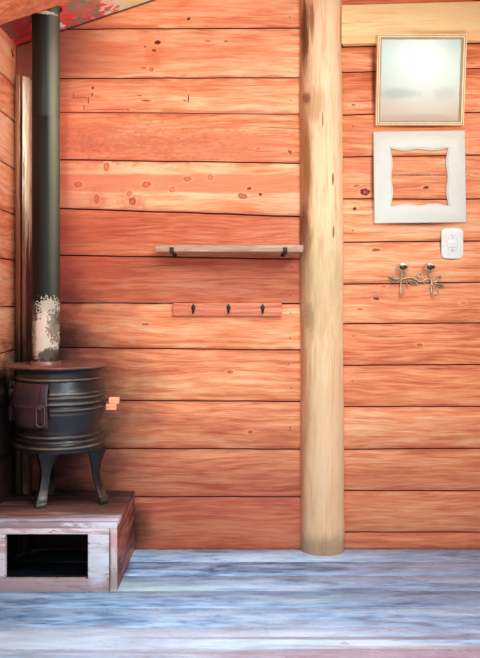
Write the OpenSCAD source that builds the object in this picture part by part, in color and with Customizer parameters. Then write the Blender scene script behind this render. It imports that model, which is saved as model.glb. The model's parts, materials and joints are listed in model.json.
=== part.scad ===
// End bay of a small timber hut with a wood stove made from steel wheel rims.
// Millimetres, +Z up, the open side faces -Y. Heights below are above the floor's top face.

/* [Hut bay] */
// Clear width between the side walls
inner_w = 2374; // [2300:2:2450]
// Depth of the bay, from the end wall to the front rafters
bay_depth = 950; // [920:10:1050]
// Ceiling height where it meets the side walls
eave_h = 1964; // [1950:2:1990]
// Rise of the ceiling from the side walls to the ridge
roof_rise = 396; // [380:2:410]
// How far the roof runs past the outside of the end wall
gable_overhang = 100; // [60:10:140]

/* [Timber] */
// Thickness of the wall boards
board_t = 48; // [40:1:50]
// Open joint between two wall boards
board_gap = 4; // [2:0.5:6]
// Bevel along the long edges of a wall board
arris = 5; // [2:1:8]
// Radius of the ridge post, a peeled log
post_r = 84; // [80:1:86]
// Thickness of the floor boards
floor_t = 25; // [20:1:30]
// Width of one floor board
floor_w = 145; // [120:5:160]
// Height of the joists and sills
joist_h = 100; // [80:5:120]
// Height of the tie beam in the right half of the end wall
tie_h = 150; // [130:5:160]
// How far the tie beam stands out of the boards
tie_proud = 40; // [30:1:46]

/* [Stove] */
// Distance of the stove's centre from the ridge post
stove_x = -971; // [-975:1:-960]
// Distance of the stove's centre in front of the end wall
stove_y = -200; // [-210:1:-196]
// Height of the hearth box that carries the stove
hearth_h = 230; // [225:1:235]
// Width of the hearth box
hearth_w = 463; // [450:1:480]
// Depth of the hearth box
hearth_d = 450; // [440:5:470]
// Wall thickness of the steel wheel rims
rim_t = 6; // [4:0.5:7]
// Radius of the round cooking plate on top
plate_r = 188; // [180:1:189]
// Radius of the flue pipe
flue_r = 50; // [48:1:50]
// Wall thickness of the flue pipe
flue_t = 2; // [1.5:0.5:3]

/* [Wall fittings] */
// Length of the shelf
shelf_w = 550; // [500:10:570]
// Depth of the shelf
shelf_d = 150; // [120:5:160]
// Side of the square picture frame
picture_w = 340; // [320:5:350]
// Side of the white open frame
white_w = 355; // [340:5:365]
// Width of the switch plate
switch_w = 84; // [80:1:90]

/* [Hidden] */
$fn = 48;

half_w = inner_w / 2;
outer_w = half_w + board_t;
ridge_h = eave_h + roof_rise;
slope = atan(roof_rise / half_w);
floor_top = joist_h + floor_t;
y_back = board_t + gable_overhang;
y_mid = (y_back - bay_depth) / 2;

timber = [0.86, 0.55, 0.40];
log_wood = [0.93, 0.82, 0.62];
iron = [0.16, 0.15, 0.16];

// Joint heights between the wall boards at the two ends of each bay: few of them are level
left_joints = [
    [0, 0], [206, 204], [395, 390], [584, 576], [789, 776], [961, 957], [1149, 1130],
    [1334, 1296], [1522, 1505], [1705, 1696], [1833, 1838], [2027, 2033], [2206, 2210], [2380, 2380]
];
right_joints = [
    [0, 0], [67, 67], [230, 226], [390, 396], [556, 558], [717, 722], [879, 885],
    [1033, 1048], [1197, 1206], [1366, 1364], [1528, 1546], [1692, 1715], [1858, 1890], [1956, 1988]
];
upper_rows = [0, 150, 270];
side_rows = [0, 195, 390, 582, 774, 950, 1121, 1306, 1476, 1665, 1801, 1990];
tie_low = right_joints[len(right_joints) - 1];

// Depth of the painted sheet under the roof, measured from the end wall
sheet_d = 262;
sheet_t = 2;
ceiling_t = 20;
purlin_h = 60;
wave_h = 18;
wave_pitch = 76;
post_groove = 20;
lip = 18;

// Stove levels above the floor
rim_bottom = 440;
rim_joint = 602;
plate_z = 731;
door_from = 183.5;
door_to = 268.3;
door_low = 528;
door_high = 680;
strap_z = 599;
hinge_r = 178;
hinge_a = 180.5;
pin_r = 4;
flue_x = -1023;
flue_y = -190;
sleeve_z = 1633;
flue_top = 2690;

// Puts the hut's floor frame on the ground, centred front to back
module placed() {
    translate([0, -y_mid, floor_top]) children();
}

module both_sides() {
    children();
    mirror([1, 0, 0]) children();
}

// Local X runs down one roof slope from the ridge and local Z stands square to it
module on_slope(side) {
    mirror([side < 0 ? 1 : 0, 0, 0]) translate([0, 0, ridge_h]) rotate([0, slope, 0]) children();
}

// Everything below the ceiling plane, raised by lift
module under_roof(lift = 0) {
    translate([0, 300, 0]) rotate([90, 0, 0]) linear_extrude(2000)
        polygon([
            [-2 * half_w, -500], [2 * half_w, -500],
            [2 * half_w, ridge_h + lift - 2 * roof_rise],
            [0, ridge_h + lift],
            [-2 * half_w, ridge_h + lift - 2 * roof_rise]
        ]);
}

// Solid through rings of equally many points, lowest ring first
module loft(rings) {
    n = len(rings[0]);
    last = len(rings) - 1;
    polyhedron(
        [for (ring = rings, p = ring) p],
        concat(
            [[for (i = [0:n - 1]) i]],
            [[for (i = [n - 1:-1:0]) last * n + i]],
            [for (k = [0:last - 1], i = [0:n - 1]) let (j = (i + 1) % n)
                [k * n + i, (k + 1) * n + i, (k + 1) * n + j]],
            [for (k = [0:last - 1], i = [0:n - 1]) let (j = (i + 1) % n)
                [k * n + i, (k + 1) * n + j, k * n + j]]
        ),
        convexity = 6
    );
}

// Radius of a natural log: its girth swells and narrows round and along the trunk
function girth(r, a, z, seed) =
    r * (1 + 0.022 * sin(2 * a + 70 * seed + 0.08 * z) + 0.014 * sin(3 * a - 0.13 * z + 40 * seed));

// The log leans a little to the left and bows
module log(r, h, seed, sides = 36, steps = 12) {
    loft([for (k = [0:steps]) let (z = h * k / steps)
        [for (i = [0:sides - 1]) let (a = 360 * i / sides, g = girth(r, a, z, seed))
            [g * cos(a) + 8 - z / 225 + 2 * sin(180 * z / h), g * sin(a) + 2 * sin(300 * z / h), z]]]);
}

// Outline of a board from x0 to x1, set in by g along both edges
function board_outline(x0, x1, low, high, g) =
    [[x0, low[0] + g], [x1, low[1] + g], [x1, high[1] - g], [x0, high[0] - g]];

// One rebated wall board: the joint is open in front and tight behind.
// low and high are its edge heights at the two ends.
module board(x0, x1, low, high) {
    g = board_gap / 2;
    translate([0, board_t, 0]) rotate([90, 0, 0]) {
        linear_extrude(board_t - lip) polygon(board_outline(x0, x1, low, high, 0.2));
        hull() {
            translate([0, 0, 1]) linear_extrude(board_t - arris - 1) polygon(board_outline(x0, x1, low, high, g));
            translate([0, 0, 1]) linear_extrude(board_t - 1) polygon(board_outline(x0, x1, low, high, g + arris));
        }
    }
}

// A stack of boards between the joints
module board_wall(x0, x1, joints) {
    for (i = [0:len(joints) - 2]) board(x0, x1, joints[i], joints[i + 1]);
}

// Unit vector along v
function unit(v) = v / norm(v);

// Direction of a path at its point i
function heading(path, i) = unit(path[min(i + 1, len(path) - 1)] - path[max(i - 1, 0)]);

// Bent rod through the points of a path that lies square to side.
// Its section is an ellipse with n corners; flat is its thickness over its width.
module rod(path, radii, side = [0, 1, 0], flat = 1, n = 8) {
    loft([for (i = [0:len(path) - 1])
        let (d = heading(path, i), u = unit(cross(d, side)), w = cross(d, u))
        [for (k = [0:n - 1])
            path[i] + radii[i] * (cos(360 * k / n) * u + flat * sin(360 * k / n) * w)]]);
}

// Floor

module end_sill() {
    color(timber) placed()
        translate([-outer_w, 0, -floor_top]) cube([2 * outer_w, 100, floor_top]);
}

module side_sills() {
    color(timber) placed() both_sides()
        translate([half_w, -bay_depth, -floor_top]) cube([board_t, bay_depth, floor_top]);
}

module floor_joists() {
    color(timber) placed() for (i = [-2:2])
        translate([i * (half_w - 30) / 2 - 30, -bay_depth, -floor_top]) cube([60, bay_depth, joist_h]);
}

module floor_boards() {
    color([0.66, 0.72, 0.78]) placed() for (i = [0:ceil(bay_depth / floor_w) - 1]) {
        front = min((i + 1) * floor_w, bay_depth);
        translate([-half_w, -front + 1, -floor_t]) cube([inner_w, front - i * floor_w - 2, floor_t]);
    }
}

// Posts

module ridge_post() {
    color(log_wood) placed() difference() {
        intersection() {
            translate([0, 5, 0]) log(post_r, ridge_h + 20, 1);
            under_roof();
        }
        both_sides() translate([post_r - post_groove, 0, -1]) cube([60, board_t, ridge_h + 40]);
        difference() {
            translate([-120, -201, 2000]) cube([240, 200, 500]);
            under_roof(-ceiling_t / cos(slope) - 0.4);
        }
    }
}

// Half of a split log, its flat side to the boards, with a deep drying crack
module split_post(h) {
    difference() {
        union() {
            translate([0, -32, 0]) cylinder(r = 28, h = h);
            translate([-28, -32, 0]) cube([56, 32, h]);
        }
        translate([-3, -62, -1]) cube([9, 29, h + 2]);
    }
}

module corner_posts() {
    color([0.72, 0.66, 0.58]) placed() both_sides() difference() {
        translate([-half_w + 36, 0, 0]) split_post(1850);
        translate([-half_w - 10, -80, 1836]) rotate([0, 8, 0]) cube([120, 100, 60]);
    }
}

module front_posts() {
    color([0.72, 0.66, 0.58]) placed() both_sides() intersection() {
        translate([-half_w, -bay_depth + 32, 0]) rotate([0, 0, 90]) split_post(eave_h + 40);
        under_roof(-(ceiling_t + 80) / cos(slope));
    }
}

// Walls

module left_bay_boards() {
    color(timber) placed() intersection() {
        board_wall(-half_w, -post_r + post_groove, left_joints);
        under_roof(-0.3);
    }
}

module right_bay_boards() {
    color(timber) placed() {
        board_wall(post_r - post_groove, half_w, right_joints);
        intersection() {
            board_wall(post_r - post_groove, half_w, [for (z = upper_rows) tie_low + [tie_h + z, tie_h + z]]);
            under_roof(sheet_t);
        }
    }
}

// A length of the tie beam from the depth y to thick in front of it, under the given roof line
module tie_length(y, thick, lift) {
    intersection() {
        translate([0, y, 0]) rotate([90, 0, 0]) linear_extrude(thick) polygon([
            [post_r - post_groove, tie_low[0]], [half_w, tie_low[1]],
            [half_w, tie_low[1] + tie_h], [post_r - post_groove, tie_low[0] + tie_h]
        ]);
        under_roof(lift);
    }
}

// The beam fills the wall's thickness; its proud face is scribed to the ridge post
module tie_beam() {
    color([0.95, 0.78, 0.56]) placed() {
        tie_length(board_t, board_t, sheet_t);
        difference() {
            tie_length(1, tie_proud + 1, -ceiling_t / cos(slope) - 0.4);
            difference() {
                translate([0, 5, tie_low[0] - 20]) cylinder(r = post_r + 4, h = tie_h + 40);
                translate([-200, 0, tie_low[0] - 21]) cube([400, 200, tie_h + 42]);
            }
        }
    }
}

module side_wall() {
    translate([-half_w, 0, 0]) rotate([0, 0, 90])
        board_wall(-bay_depth, board_t, [for (z = side_rows) [z, z + 5 * sin(z)]]);
}

module left_side_boards() {
    color(timber) placed() intersection() {
        side_wall();
        under_roof(sheet_t);
    }
}

module right_side_boards() {
    color(timber) placed() mirror([1, 0, 0]) intersection() {
        side_wall();
        under_roof(sheet_t);
    }
}

// Roof

module ceiling_boards() {
    w = (bay_depth - sheet_d) / 5;
    start = ceiling_t * tan(slope) + 1;
    color(timber) placed() {
        for (i = [0:4]) on_slope(-1)
            translate([start, -bay_depth + i * w, -ceiling_t]) cube([1249 - start, w - 2, ceiling_t + sheet_t]);
        for (i = [0:6]) on_slope(1)
            translate([start, -bay_depth + i * bay_depth / 7, -ceiling_t])
                cube([1249 - start, bay_depth / 7 - 2, ceiling_t + sheet_t]);
    }
}

// Two old panels that meet beside the flue; the lower one has the flue's hole
module painted_sheet() {
    seam = 914;
    color([0.75, 0.22, 0.25]) placed() difference() {
        on_slope(-1) {
            translate([2, -sheet_d, 0]) cube([seam - 3, sheet_d + board_t, sheet_t]);
            translate([seam, -sheet_d, 0]) cube([1250 - seam, sheet_d + board_t, sheet_t]);
        }
        translate([flue_x, flue_y, 1800]) cylinder(r = flue_r + 8, h = 600);
    }
}

module front_rafters() {
    color(timber) placed() both_sides() difference() {
        on_slope(-1) translate([-20, -bay_depth, -ceiling_t - 80]) cube([1290, 60, 80]);
        translate([-0.5, -bay_depth - 1, 1500]) cube([200, 62, 1000]);
        translate([-half_w - 200, -bay_depth - 1, 1500]) cube([200, 62, 1000]);
    }
}

module purlins() {
    color(timber) placed() {
        both_sides() for (x = [600, 1252]) on_slope(-1)
            translate([x, -bay_depth, sheet_t]) cube([50, bay_depth + y_back, purlin_h]);
        translate([0, y_back, ridge_h + sheet_t / cos(slope)]) rotate([90, 0, 0]) linear_extrude(bay_depth + y_back)
            polygon([[-60, -60 * tan(slope)], [0, 0], [60, -60 * tan(slope)], [60, 42], [0, 62], [-60, 42]]);
    }
}

// Corrugated sheet: a sine wave across Y, drawn down the slope
module wave_sheet(long) {
    steps = ceil((bay_depth + y_back) / wave_pitch * 8);
    run = [for (i = [0:steps]) let (y = -bay_depth + i * (bay_depth + y_back) / steps)
        [-(wave_h / 2) * (1 - cos(360 * y / wave_pitch)), y]];
    rotate([0, 90, 0]) linear_extrude(long)
        polygon(concat(run, [for (i = [steps:-1:0]) [run[i][0] - 1.2, run[i][1]]]));
}

module roof_sheet(side) {
    on_slope(side) translate([14, 0, sheet_t + purlin_h]) wave_sheet(1380);
}

module roof_sheet_left() {
    color([0.55, 0.57, 0.58]) placed() difference() {
        roof_sheet(-1);
        translate([flue_x, flue_y, 1800]) cylinder(r = flue_r + 25, h = 600);
    }
}

module roof_sheet_right() {
    color([0.55, 0.57, 0.58]) placed() roof_sheet(1);
}

module ridge_cap() {
    lift = sheet_t + purlin_h + wave_h + 1.2;
    top = ridge_h + lift / cos(slope);
    t = tan(slope);
    color([0.5, 0.52, 0.53]) placed() translate([0, y_back, 0]) rotate([90, 0, 0])
        linear_extrude(bay_depth + y_back) polygon([
            [-150, top - 150 * t], [0, top], [150, top - 150 * t],
            [150, top - 150 * t + 1.5], [0, top + 1.5], [-150, top - 150 * t + 1.5]
        ]);
}

// Hearth

hearth_x0 = -half_w;
hearth_x1 = -half_w + hearth_w;
// Room that the hearth leaves for the corner post
post_seat = 62;

module hearth_top() {
    widths = [0, 95, 215, 335, 450];
    color([0.45, 0.30, 0.24]) placed() difference() {
        for (i = [0:3])
            translate([hearth_x0 + 1, -hearth_d * widths[i + 1] / 450 + 1, hearth_h - 18])
                cube([hearth_w - 1, hearth_d * (widths[i + 1] - widths[i]) / 450 - 1.5, 18]);
        translate([hearth_x0 - 1, -post_seat, hearth_h - 20]) cube([68, 100, 24]);
    }
}

module hearth_front() {
    color([0.82, 0.76, 0.72]) placed() translate([0, -hearth_d, 0]) difference() {
        translate([hearth_x0 + 26, 0, 0]) cube([hearth_w - 52, 22, hearth_h - 18]);
        translate([-1095, -1, 44]) cube([275, 24, 149]);
    }
}

module hearth_sides() {
    color([0.62, 0.36, 0.22]) placed() {
        translate([hearth_x1 - 26, -hearth_d, 0]) cube([26, hearth_d, hearth_h - 18]);
        translate([hearth_x0, -hearth_d, 0]) cube([26, hearth_d - post_seat, hearth_h - 18]);
    }
}

// Stove

module at_stove() {
    placed() translate([stove_x, stove_y, 0]) children();
}

// Ring of sheet steel turned from an outer outline of [radius, height] points
module shell(outer, t) {
    n = len(outer);
    rotate_extrude($fn = 96) polygon(concat(outer, [for (i = [n - 1:-1:0]) [outer[i][0] - t, outer[i][1]]]));
}

upper_outline = [
    [163, rim_joint], [167, 606], [167, 613], [162.5, 618], [162.5, 625], [166, 630], [166, 635],
    [163.5, 638.5], [165.5, 642], [165, 648], [161, 662], [153, 677], [150, 684], [154, 688], [154, 695],
    [150, 700], [150, 714], [156, 722], [172, 727], [174, plate_z]
];
lower_outline = [
    [160, rim_bottom], [161, 448], [167, 454], [167, 461], [156, 466], [153, 471], [158, 476],
    [156, 482], [147, 487], [151, 493], [150, 499], [140, 505], [140, 513], [148, 535], [158, 560],
    [163, 572], [161.5, 577], [161.5, 583], [167, 588], [167, 596], [163, rim_joint]
];
leaf_outline = [[155.5, door_low], [161, 550], [165, 575], [167, 603], [165.5, 632], [161, 658], [154.5, door_high]];

function leaf_r(z) = lookup(z, [for (p = leaf_outline) [p[1], p[0]]]);

// Takes the seat of the door and the stoking hole out of the rims
module door_cut() {
    n = len(leaf_outline);
    rotate([0, 0, door_from - 1.5]) rotate_extrude(angle = door_to - door_from + 3.5, $fn = 96)
        polygon(concat(
            [[210, door_low - 3]], [[210, door_high + 3]],
            [for (i = [n - 1:-1:0]) [leaf_outline[i][0] - 5.5, leaf_outline[i][1] + (i == 0 ? -3 : i == n - 1 ? 3 : 0)]]
        ));
    rotate([0, 0, door_from + 8]) rotate_extrude(angle = door_to - door_from - 15, $fn = 96)
        translate([100, door_low + 14]) square([80, door_high - door_low - 28]);
}

// A hinge knuckle on the stove with its welded tab, from z0 up
module fixed_knuckle(z0, h) {
    rotate([0, 0, hinge_a]) difference() {
        union() {
            translate([hinge_r, 0, z0]) cylinder(r = 8, h = h);
            translate([145, -8, z0]) cube([hinge_r - 145, 5, h]);
        }
        translate([hinge_r, 0, z0 - 1]) cylinder(r = pin_r, h = h + 2);
    }
}

module lower_rim() {
    color([0.22, 0.20, 0.21]) at_stove() {
        difference() {
            union() {
                shell(lower_outline, rim_t);
                translate([0, 0, rim_bottom]) cylinder(r = 156, h = 6, $fn = 96);
            }
            door_cut();
        }
        fixed_knuckle(534, 24);
    }
}

module upper_rim() {
    color([0.22, 0.20, 0.21]) at_stove() {
        difference() {
            shell(upper_outline, rim_t);
            door_cut();
        }
        fixed_knuckle(652, 24);
    }
}

module stove_top() {
    color([0.45, 0.30, 0.26]) at_stove() difference() {
        union() {
            rotate_extrude($fn = 96) polygon([
                [0, plate_z], [plate_r - 8, plate_z], [plate_r - 1, plate_z + 4], [plate_r, plate_z + 7],
                [plate_r - 3, plate_z + 7], [plate_r - 8, plate_z + 4], [0, plate_z + 4]
            ]);
            translate([flue_x - stove_x, flue_y - stove_y, plate_z]) cylinder(r = flue_r + 4, h = 18);
        }
        translate([flue_x - stove_x, flue_y - stove_y, plate_z - 1]) cylinder(r = flue_r - flue_t - 2, h = 40);
        translate([flue_x - stove_x, flue_y - stove_y, plate_z + 4]) cylinder(r = flue_r, h = 40);
    }
}

// Cast corner leg: an L-shaped section whose corner swings out at the knee and at the foot
module leg() {
    swing = [[230, 34], [244, 34], [246, 30], [258, 30], [260, 26], [280, 17], [310, 6], [345, 0], [385, 7], [415, 19], [440, 24]];
    width = [[230, 38], [260, 37], [262, 34], [300, 31], [345, 32], [375, 42], [400, 58], [420, 74], [440, 84]];
    levels = [230, 244, 246, 258, 260, 270, 285, 300, 320, 345, 365, 385, 402, 420, 440];
    t = 8;
    loft([for (z = levels) let (e = lookup(z, swing), w = lookup(z, width))
        [for (p = [[0, 0], [w, 0], [w, t], [t, t], [t, w], [0, w]])
            [e - (p[0] + p[1]) * cos(45), (p[0] - p[1]) * sin(45), z]]]);
}

module stove_legs() {
    spots = [[-54, -45, 248], [146, 5, 6], [-70, 112, 125]];
    color(iron) at_stove() for (s = spots)
        translate([s[0], s[1], 0]) rotate([0, 0, s[2]]) leg();
}

// Stove door

// Curved door plate with its strap rolled in
module leaf_plate() {
    n = len(leaf_outline);
    low = [for (p = leaf_outline) if (p[1] < strap_z) p];
    high = [for (p = leaf_outline) if (p[1] > strap_z + 8) p];
    strap = [
        [leaf_r(strap_z), strap_z], [leaf_r(strap_z) + 3, strap_z],
        [leaf_r(strap_z) + 3, strap_z + 8], [leaf_r(strap_z + 8), strap_z + 8]
    ];
    back = [for (i = [n - 1:-1:0]) [leaf_outline[i][0] - 4, leaf_outline[i][1]]];
    rotate([0, 0, door_from]) rotate_extrude(angle = door_to - door_from, $fn = 96)
        polygon(concat(low, strap, high, back));
}

// Flat bar that stiffens the door's free edge
module edge_bar() {
    levels = [door_low + 2, 550, 575, 632, 658, door_high - 2];
    rotate([0, 0, door_to - 8.6]) rotate_extrude(angle = 8.2, $fn = 96)
        polygon(concat(
            [for (z = levels) [leaf_r(z) + 2.5, z]],
            [for (i = [len(levels) - 1:-1:0]) [leaf_r(levels[i]) - 2, levels[i]]]
        ));
}

module door_knuckle(z0, h) {
    translate([hinge_r, 0, z0]) cylinder(r = 8, h = h);
    translate([leaf_r(z0 + h / 2) - 3, 5, z0]) cube([hinge_r - leaf_r(z0 + h / 2) + 5, 13, h]);
}

module door_leaf() {
    color([0.24, 0.17, 0.20]) at_stove() difference() {
        union() {
            leaf_plate();
            edge_bar();
            rotate([0, 0, hinge_a]) {
                door_knuckle(560, 28);
                door_knuckle(622, 28);
            }
        }
        rotate([0, 0, hinge_a]) translate([hinge_r, 0, 500]) cylinder(r = pin_r + 0.08, h = 200);
    }
}

// Rivet on the strap and the long wire link that hangs from it
module door_handle() {
    bend = 15;
    link = concat(
        [for (a = [96:12:180]) [6, bend * cos(a), strap_z - 4 + bend * sin(a)]],
        [for (a = [180:15:360]) [6, bend * cos(a), strap_z - 48 + bend * sin(a)]],
        [for (a = [360:12:444]) [6, bend * cos(a), strap_z - 4 + bend * sin(a)]]
    );
    color(iron) at_stove() rotate([0, 0, 261.5]) translate([170, 0, 0]) {
        translate([0, 0, strap_z + 4]) rotate([0, 90, 0]) {
            cylinder(r = 5, h = 10, $fn = 24);
            translate([0, 0, 9]) cylinder(r = 8, h = 2.5, $fn = 24);
        }
        rod(link, [for (p = link) 3], side = [1, 0, 0]);
    }
}

module hinge_pin() {
    color(iron) at_stove() rotate([0, 0, hinge_a]) translate([hinge_r, 0, 0]) {
        translate([0, 0, 530]) cylinder(r = pin_r, h = 150);
        translate([0, 0, 676]) cylinder(r = 7, h = 5);
    }
}

// Straight wire from the rim through both grips
module grip_wire(from) {
    translate([from, -12, 596]) rotate([0, 90, 0]) cylinder(r = 3, h = 194 - from, $fn = 16);
}

module side_handle_wire() {
    color(iron) at_stove() difference() {
        grip_wire(150);
        translate([0, 0, 580]) cylinder(r = 167, h = 30, $fn = 96);
    }
}

module side_handle_grips() {
    color([0.9, 0.7, 0.5]) at_stove() difference() {
        union() {
            translate([183, -23, 597]) cube([36, 22, 22]);
            translate([173, -23, 574]) cube([36, 22, 22]);
        }
        grip_wire(160);
    }
}

// Flue

module at_flue() {
    placed() translate([flue_x, flue_y, 0]) children();
}

module flue_lower() {
    color([0.13, 0.16, 0.16]) at_flue() rotate_extrude($fn = 64) polygon([
        [flue_r - flue_t, plate_z + 4], [flue_r, plate_z + 4], [flue_r, sleeve_z - 3],
        [flue_r - flue_t, sleeve_z], [flue_r - flue_t, sleeve_z + 60], [flue_r - 2 * flue_t, sleeve_z + 60],
        [flue_r - 2 * flue_t, sleeve_z - 4]
    ]);
}

module flue_upper() {
    color([0.13, 0.16, 0.16]) at_flue() difference() {
        translate([0, 0, sleeve_z]) cylinder(r = flue_r, h = flue_top - sleeve_z, $fn = 64);
        translate([0, 0, sleeve_z - 1]) cylinder(r = flue_r - flue_t, h = flue_top - sleeve_z + 2, $fn = 64);
    }
}

module flue_flashing() {
    base = ridge_h + flue_x * tan(slope);
    color([0.5, 0.52, 0.53]) placed() difference() {
        translate([flue_x, flue_y, base]) rotate_extrude($fn = 64)
            polygon([[flue_r, 0], [130, 0], [130, 110], [flue_r + 2, 190], [flue_r, 190]]);
        translate([flue_x, flue_y, base - 1]) cylinder(r1 = 128, r2 = 128, h = 111);
        translate([flue_x, flue_y, base + 108]) cylinder(r1 = 128, r2 = flue_r, h = 79);
        on_slope(-1) translate([0, -900, -300]) cube([1500, 1200, 300 + sheet_t + purlin_h + wave_h + 1.2]);
    }
}

module flue_cowl() {
    color([0.2, 0.22, 0.22]) at_flue() {
        translate([0, 0, flue_top + 30]) rotate_extrude($fn = 64)
            polygon([[0, 42], [95, 0], [95, 3], [0, 46]]);
        for (a = [0, 120, 240]) rotate([0, 0, a])
            translate([flue_r, -9, flue_top - 40]) cube([2.5, 18, 90]);
    }
}

// Shelf and rail

shelf_x0 = -629;
shelf_z = 1150;

module shelf_board() {
    color([0.62, 0.55, 0.48]) placed() difference() {
        translate([shelf_x0, -shelf_d, shelf_z]) cube([shelf_w, shelf_d, 25]);
        translate([0, 5, shelf_z - 1]) cylinder(r = post_r + 4, h = 27);
    }
}

module shelf_brackets() {
    color(iron) placed() for (x = [shelf_x0 + 54, shelf_x0 + shelf_w - 76]) {
        translate([x, -shelf_d - 4, shelf_z - 4]) cube([16, shelf_d + 4, 4]);
        translate([x, -shelf_d - 4, shelf_z - 4]) cube([16, 4, 20]);
        translate([x, -4, shelf_z - 10]) cube([16, 4, 8]);
    }
}

module tool_rail() {
    color(timber) placed() translate([-573, -20, 910]) cube([422, 20, 50]);
}

// Forged hook: a spade-shaped plate, a half turn of rod and a ball tip
module forged_hook(bend = 11, thick = 3) {
    rotate([90, 0, 0]) linear_extrude(3)
        polygon([
            [-4, -6], [4, -6], [5, 4], [8.5, 10], [8, 15], [3, 24], [0, 29],
            [-3, 24], [-8, 15], [-8.5, 10], [-5, 4]
        ]);
    translate([0, -4.5 - bend, 2]) rotate([90, 0, 90]) {
        rotate([0, 0, 180]) rotate_extrude(angle = 180, $fn = 48) translate([bend, 0]) circle(r = thick, $fn = 24);
        translate([-bend, 3, 0]) sphere(r = thick + 1.2, $fn = 24);
    }
}

module tool_hooks() {
    color(iron) placed() for (x = [-494, -358, -226]) translate([x, -20, 930]) forged_hook();
}

// Fittings of the right half

module switch_outline() {
    intersection() {
        square([switch_w, 119], center = true);
        circle(r = 62, $fn = 96);
    }
}

module at_switch() {
    placed() translate([512, 0, 1192]) rotate([90, 0, 0]) children();
}

module switch_plate() {
    color([0.95, 0.95, 0.93]) at_switch() difference() {
        linear_extrude(9) switch_outline();
        translate([-16, -15, 4]) cube([32, 30, 10]);
    }
}

module switch_rocker() {
    color([0.9, 0.9, 0.88]) at_switch() translate([-15.5, 0, 4]) rotate([90, 0, 90]) linear_extrude(31)
        polygon([[-14.5, 0], [14.5, 0], [14.5, 6], [0, 8.5], [-14.5, 6]]);
}

// One coat hook of the rack: it drops from the branch, turns up and ends in a small ball
module coat_hook(x, top) {
    bend = [for (a = [180:20:360]) [x, -22 - 14 * cos(a), 1004 + 14 * sin(a)]];
    path = concat([[x, -8, top], [x, -8, 1020]], bend, [[x, -36, 1010]]);
    rod(path, [for (i = [0:len(path) - 1]) 4.4 - 0.1 * i], side = [1, 0, 0]);
    translate([x, -36, 1011]) sphere(r = 5, $fn = 24);
}

// Open flower cup on a short stem, its mouth turned to the front
module flower_cup(x, foot) {
    rod([[x[0], -8, foot], [(x[0] + x[1]) / 2, -12, foot + 16], [x[1], -14, 1090]], [4, 3.4, 4.4], side = [0, 1, 0.2]);
    translate([x[1], -13, 1089]) rotate([52, 0, 0]) rotate_extrude($fn = 40)
        polygon([[0, 0], [6, 1], [10, 7], [15, 12], [21, 15], [20, 16.5], [13, 14], [8, 9], [0, 5]]);
}

// Flat curl of rod, wound in by a whole turn
module curl(x, z, r, from, turn) {
    path = [for (i = [0:12]) let (a = from + turn * i / 12, g = r * (1 - 0.045 * i))
        [x + g * cos(a), -9, z + g * sin(a)]];
    rod(path, [for (i = [0:12]) 3.2 - 0.1 * i], flat = 1.2, n = 6);
}

// Pointed leaf along a path, seen from the front
module leaf(path, wide) {
    n = len(path) - 1;
    rod(path, [for (i = [0:n]) max(0.8, wide * sin(180 * i / n))], flat = 0.4, n = 6);
}

// Ornamental rack: a wavy branch with leaves, curls, two flower cups and two coat hooks
module hook_rack() {
    branch = [
        [-66, 1052], [-50, 1058], [-30, 1061], [-14, 1057], [2, 1045],
        [18, 1050], [34, 1055], [48, 1046], [60, 1039], [76, 1043], [84, 1054]
    ];
    color([0.6, 0.56, 0.5]) placed() translate([381, 0, 0]) {
        rod([for (p = branch) [p[0], -8, p[1]]], [4, 4.4, 4, 4, 4.6, 4.2, 4, 4.4, 4.4, 3.6, 3.2]);
        leaf([[-62, -9, 1048], [-76, -9, 1041], [-92, -9, 1040], [-104, -9, 1047], [-112, -9, 1062]], 9);
        leaf([[-58, -9, 1047], [-40, -9, 1042], [-22, -9, 1036], [0, -9, 1034]], 8);
        leaf([[58, -9, 1037], [72, -9, 1031], [88, -9, 1027], [106, -9, 1024]], 7);
        leaf([[-58, -9, 1046], [-46, -9, 1036], [-38, -9, 1020]], 4);
        leaf([[56, -9, 1038], [70, -9, 1022], [75, -9, 998]], 4);
        curl(3, 1067, 12, 200, 330);
        curl(-50, 1070, 8, 240, 300);
        translate([86, 0, 1060]) rotate([90, 0, 0]) cylinder(r = 9, h = 10, $fn = 24);
        flower_cup([-64, -61], 1050);
        flower_cup([50, 46], 1044);
        coat_hook(-64, 1052);
        coat_hook(54, 1042);
        for (p = [[-64, 1050], [54, 1043]])
            translate([p[0], 0, p[1]]) rotate([90, 0, 0]) cylinder(r = 9, h = 9, $fn = 24);
    }
}

// Height of the tie beam's lower edge at x
function tie_bottom(x) = tie_low[0] + (tie_low[1] - tie_low[0]) * (x - post_r + post_groove) / (half_w - post_r + post_groove);

picture_x = 382;
picture_z = 1651;

// The picture stands on the wall at its foot and leans forward to the tie beam's lower edge
module leaning() {
    lean = atan(tie_proud / (tie_bottom(picture_x - picture_w / 2) - picture_z));
    placed() translate([picture_x, 0, picture_z]) rotate([lean, 0, 0]) rotate([90, 0, 0])
        translate([0, 3, 0]) rotate([0, 0, 0.8]) children();
}

// Square of the given side that stands on the picture's foot line, inset from its edges
module picture_square(inset, from, to) {
    translate([inset - picture_w / 2, inset, from])
        cube([picture_w - 2 * inset, picture_w - 2 * inset, to - from]);
}

module picture_frame() {
    color([0.86, 0.76, 0.56]) leaning() difference() {
        picture_square(0, 0, 24);
        picture_square(11, 15, 25);
        picture_square(17, 5, 16);
        picture_square(12.9, -1, 8);
    }
}

module picture_panel() {
    color([0.85, 0.93, 0.88]) leaning() picture_square(13, 0, 8);
}

// Half of the opening's side at a way u along it: an ogee that swells at the corners and the middle
function ogee(u) = 106 + 3 * cos(720 * u) + 3 * pow(abs(2 * u - 1), 6);

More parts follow.
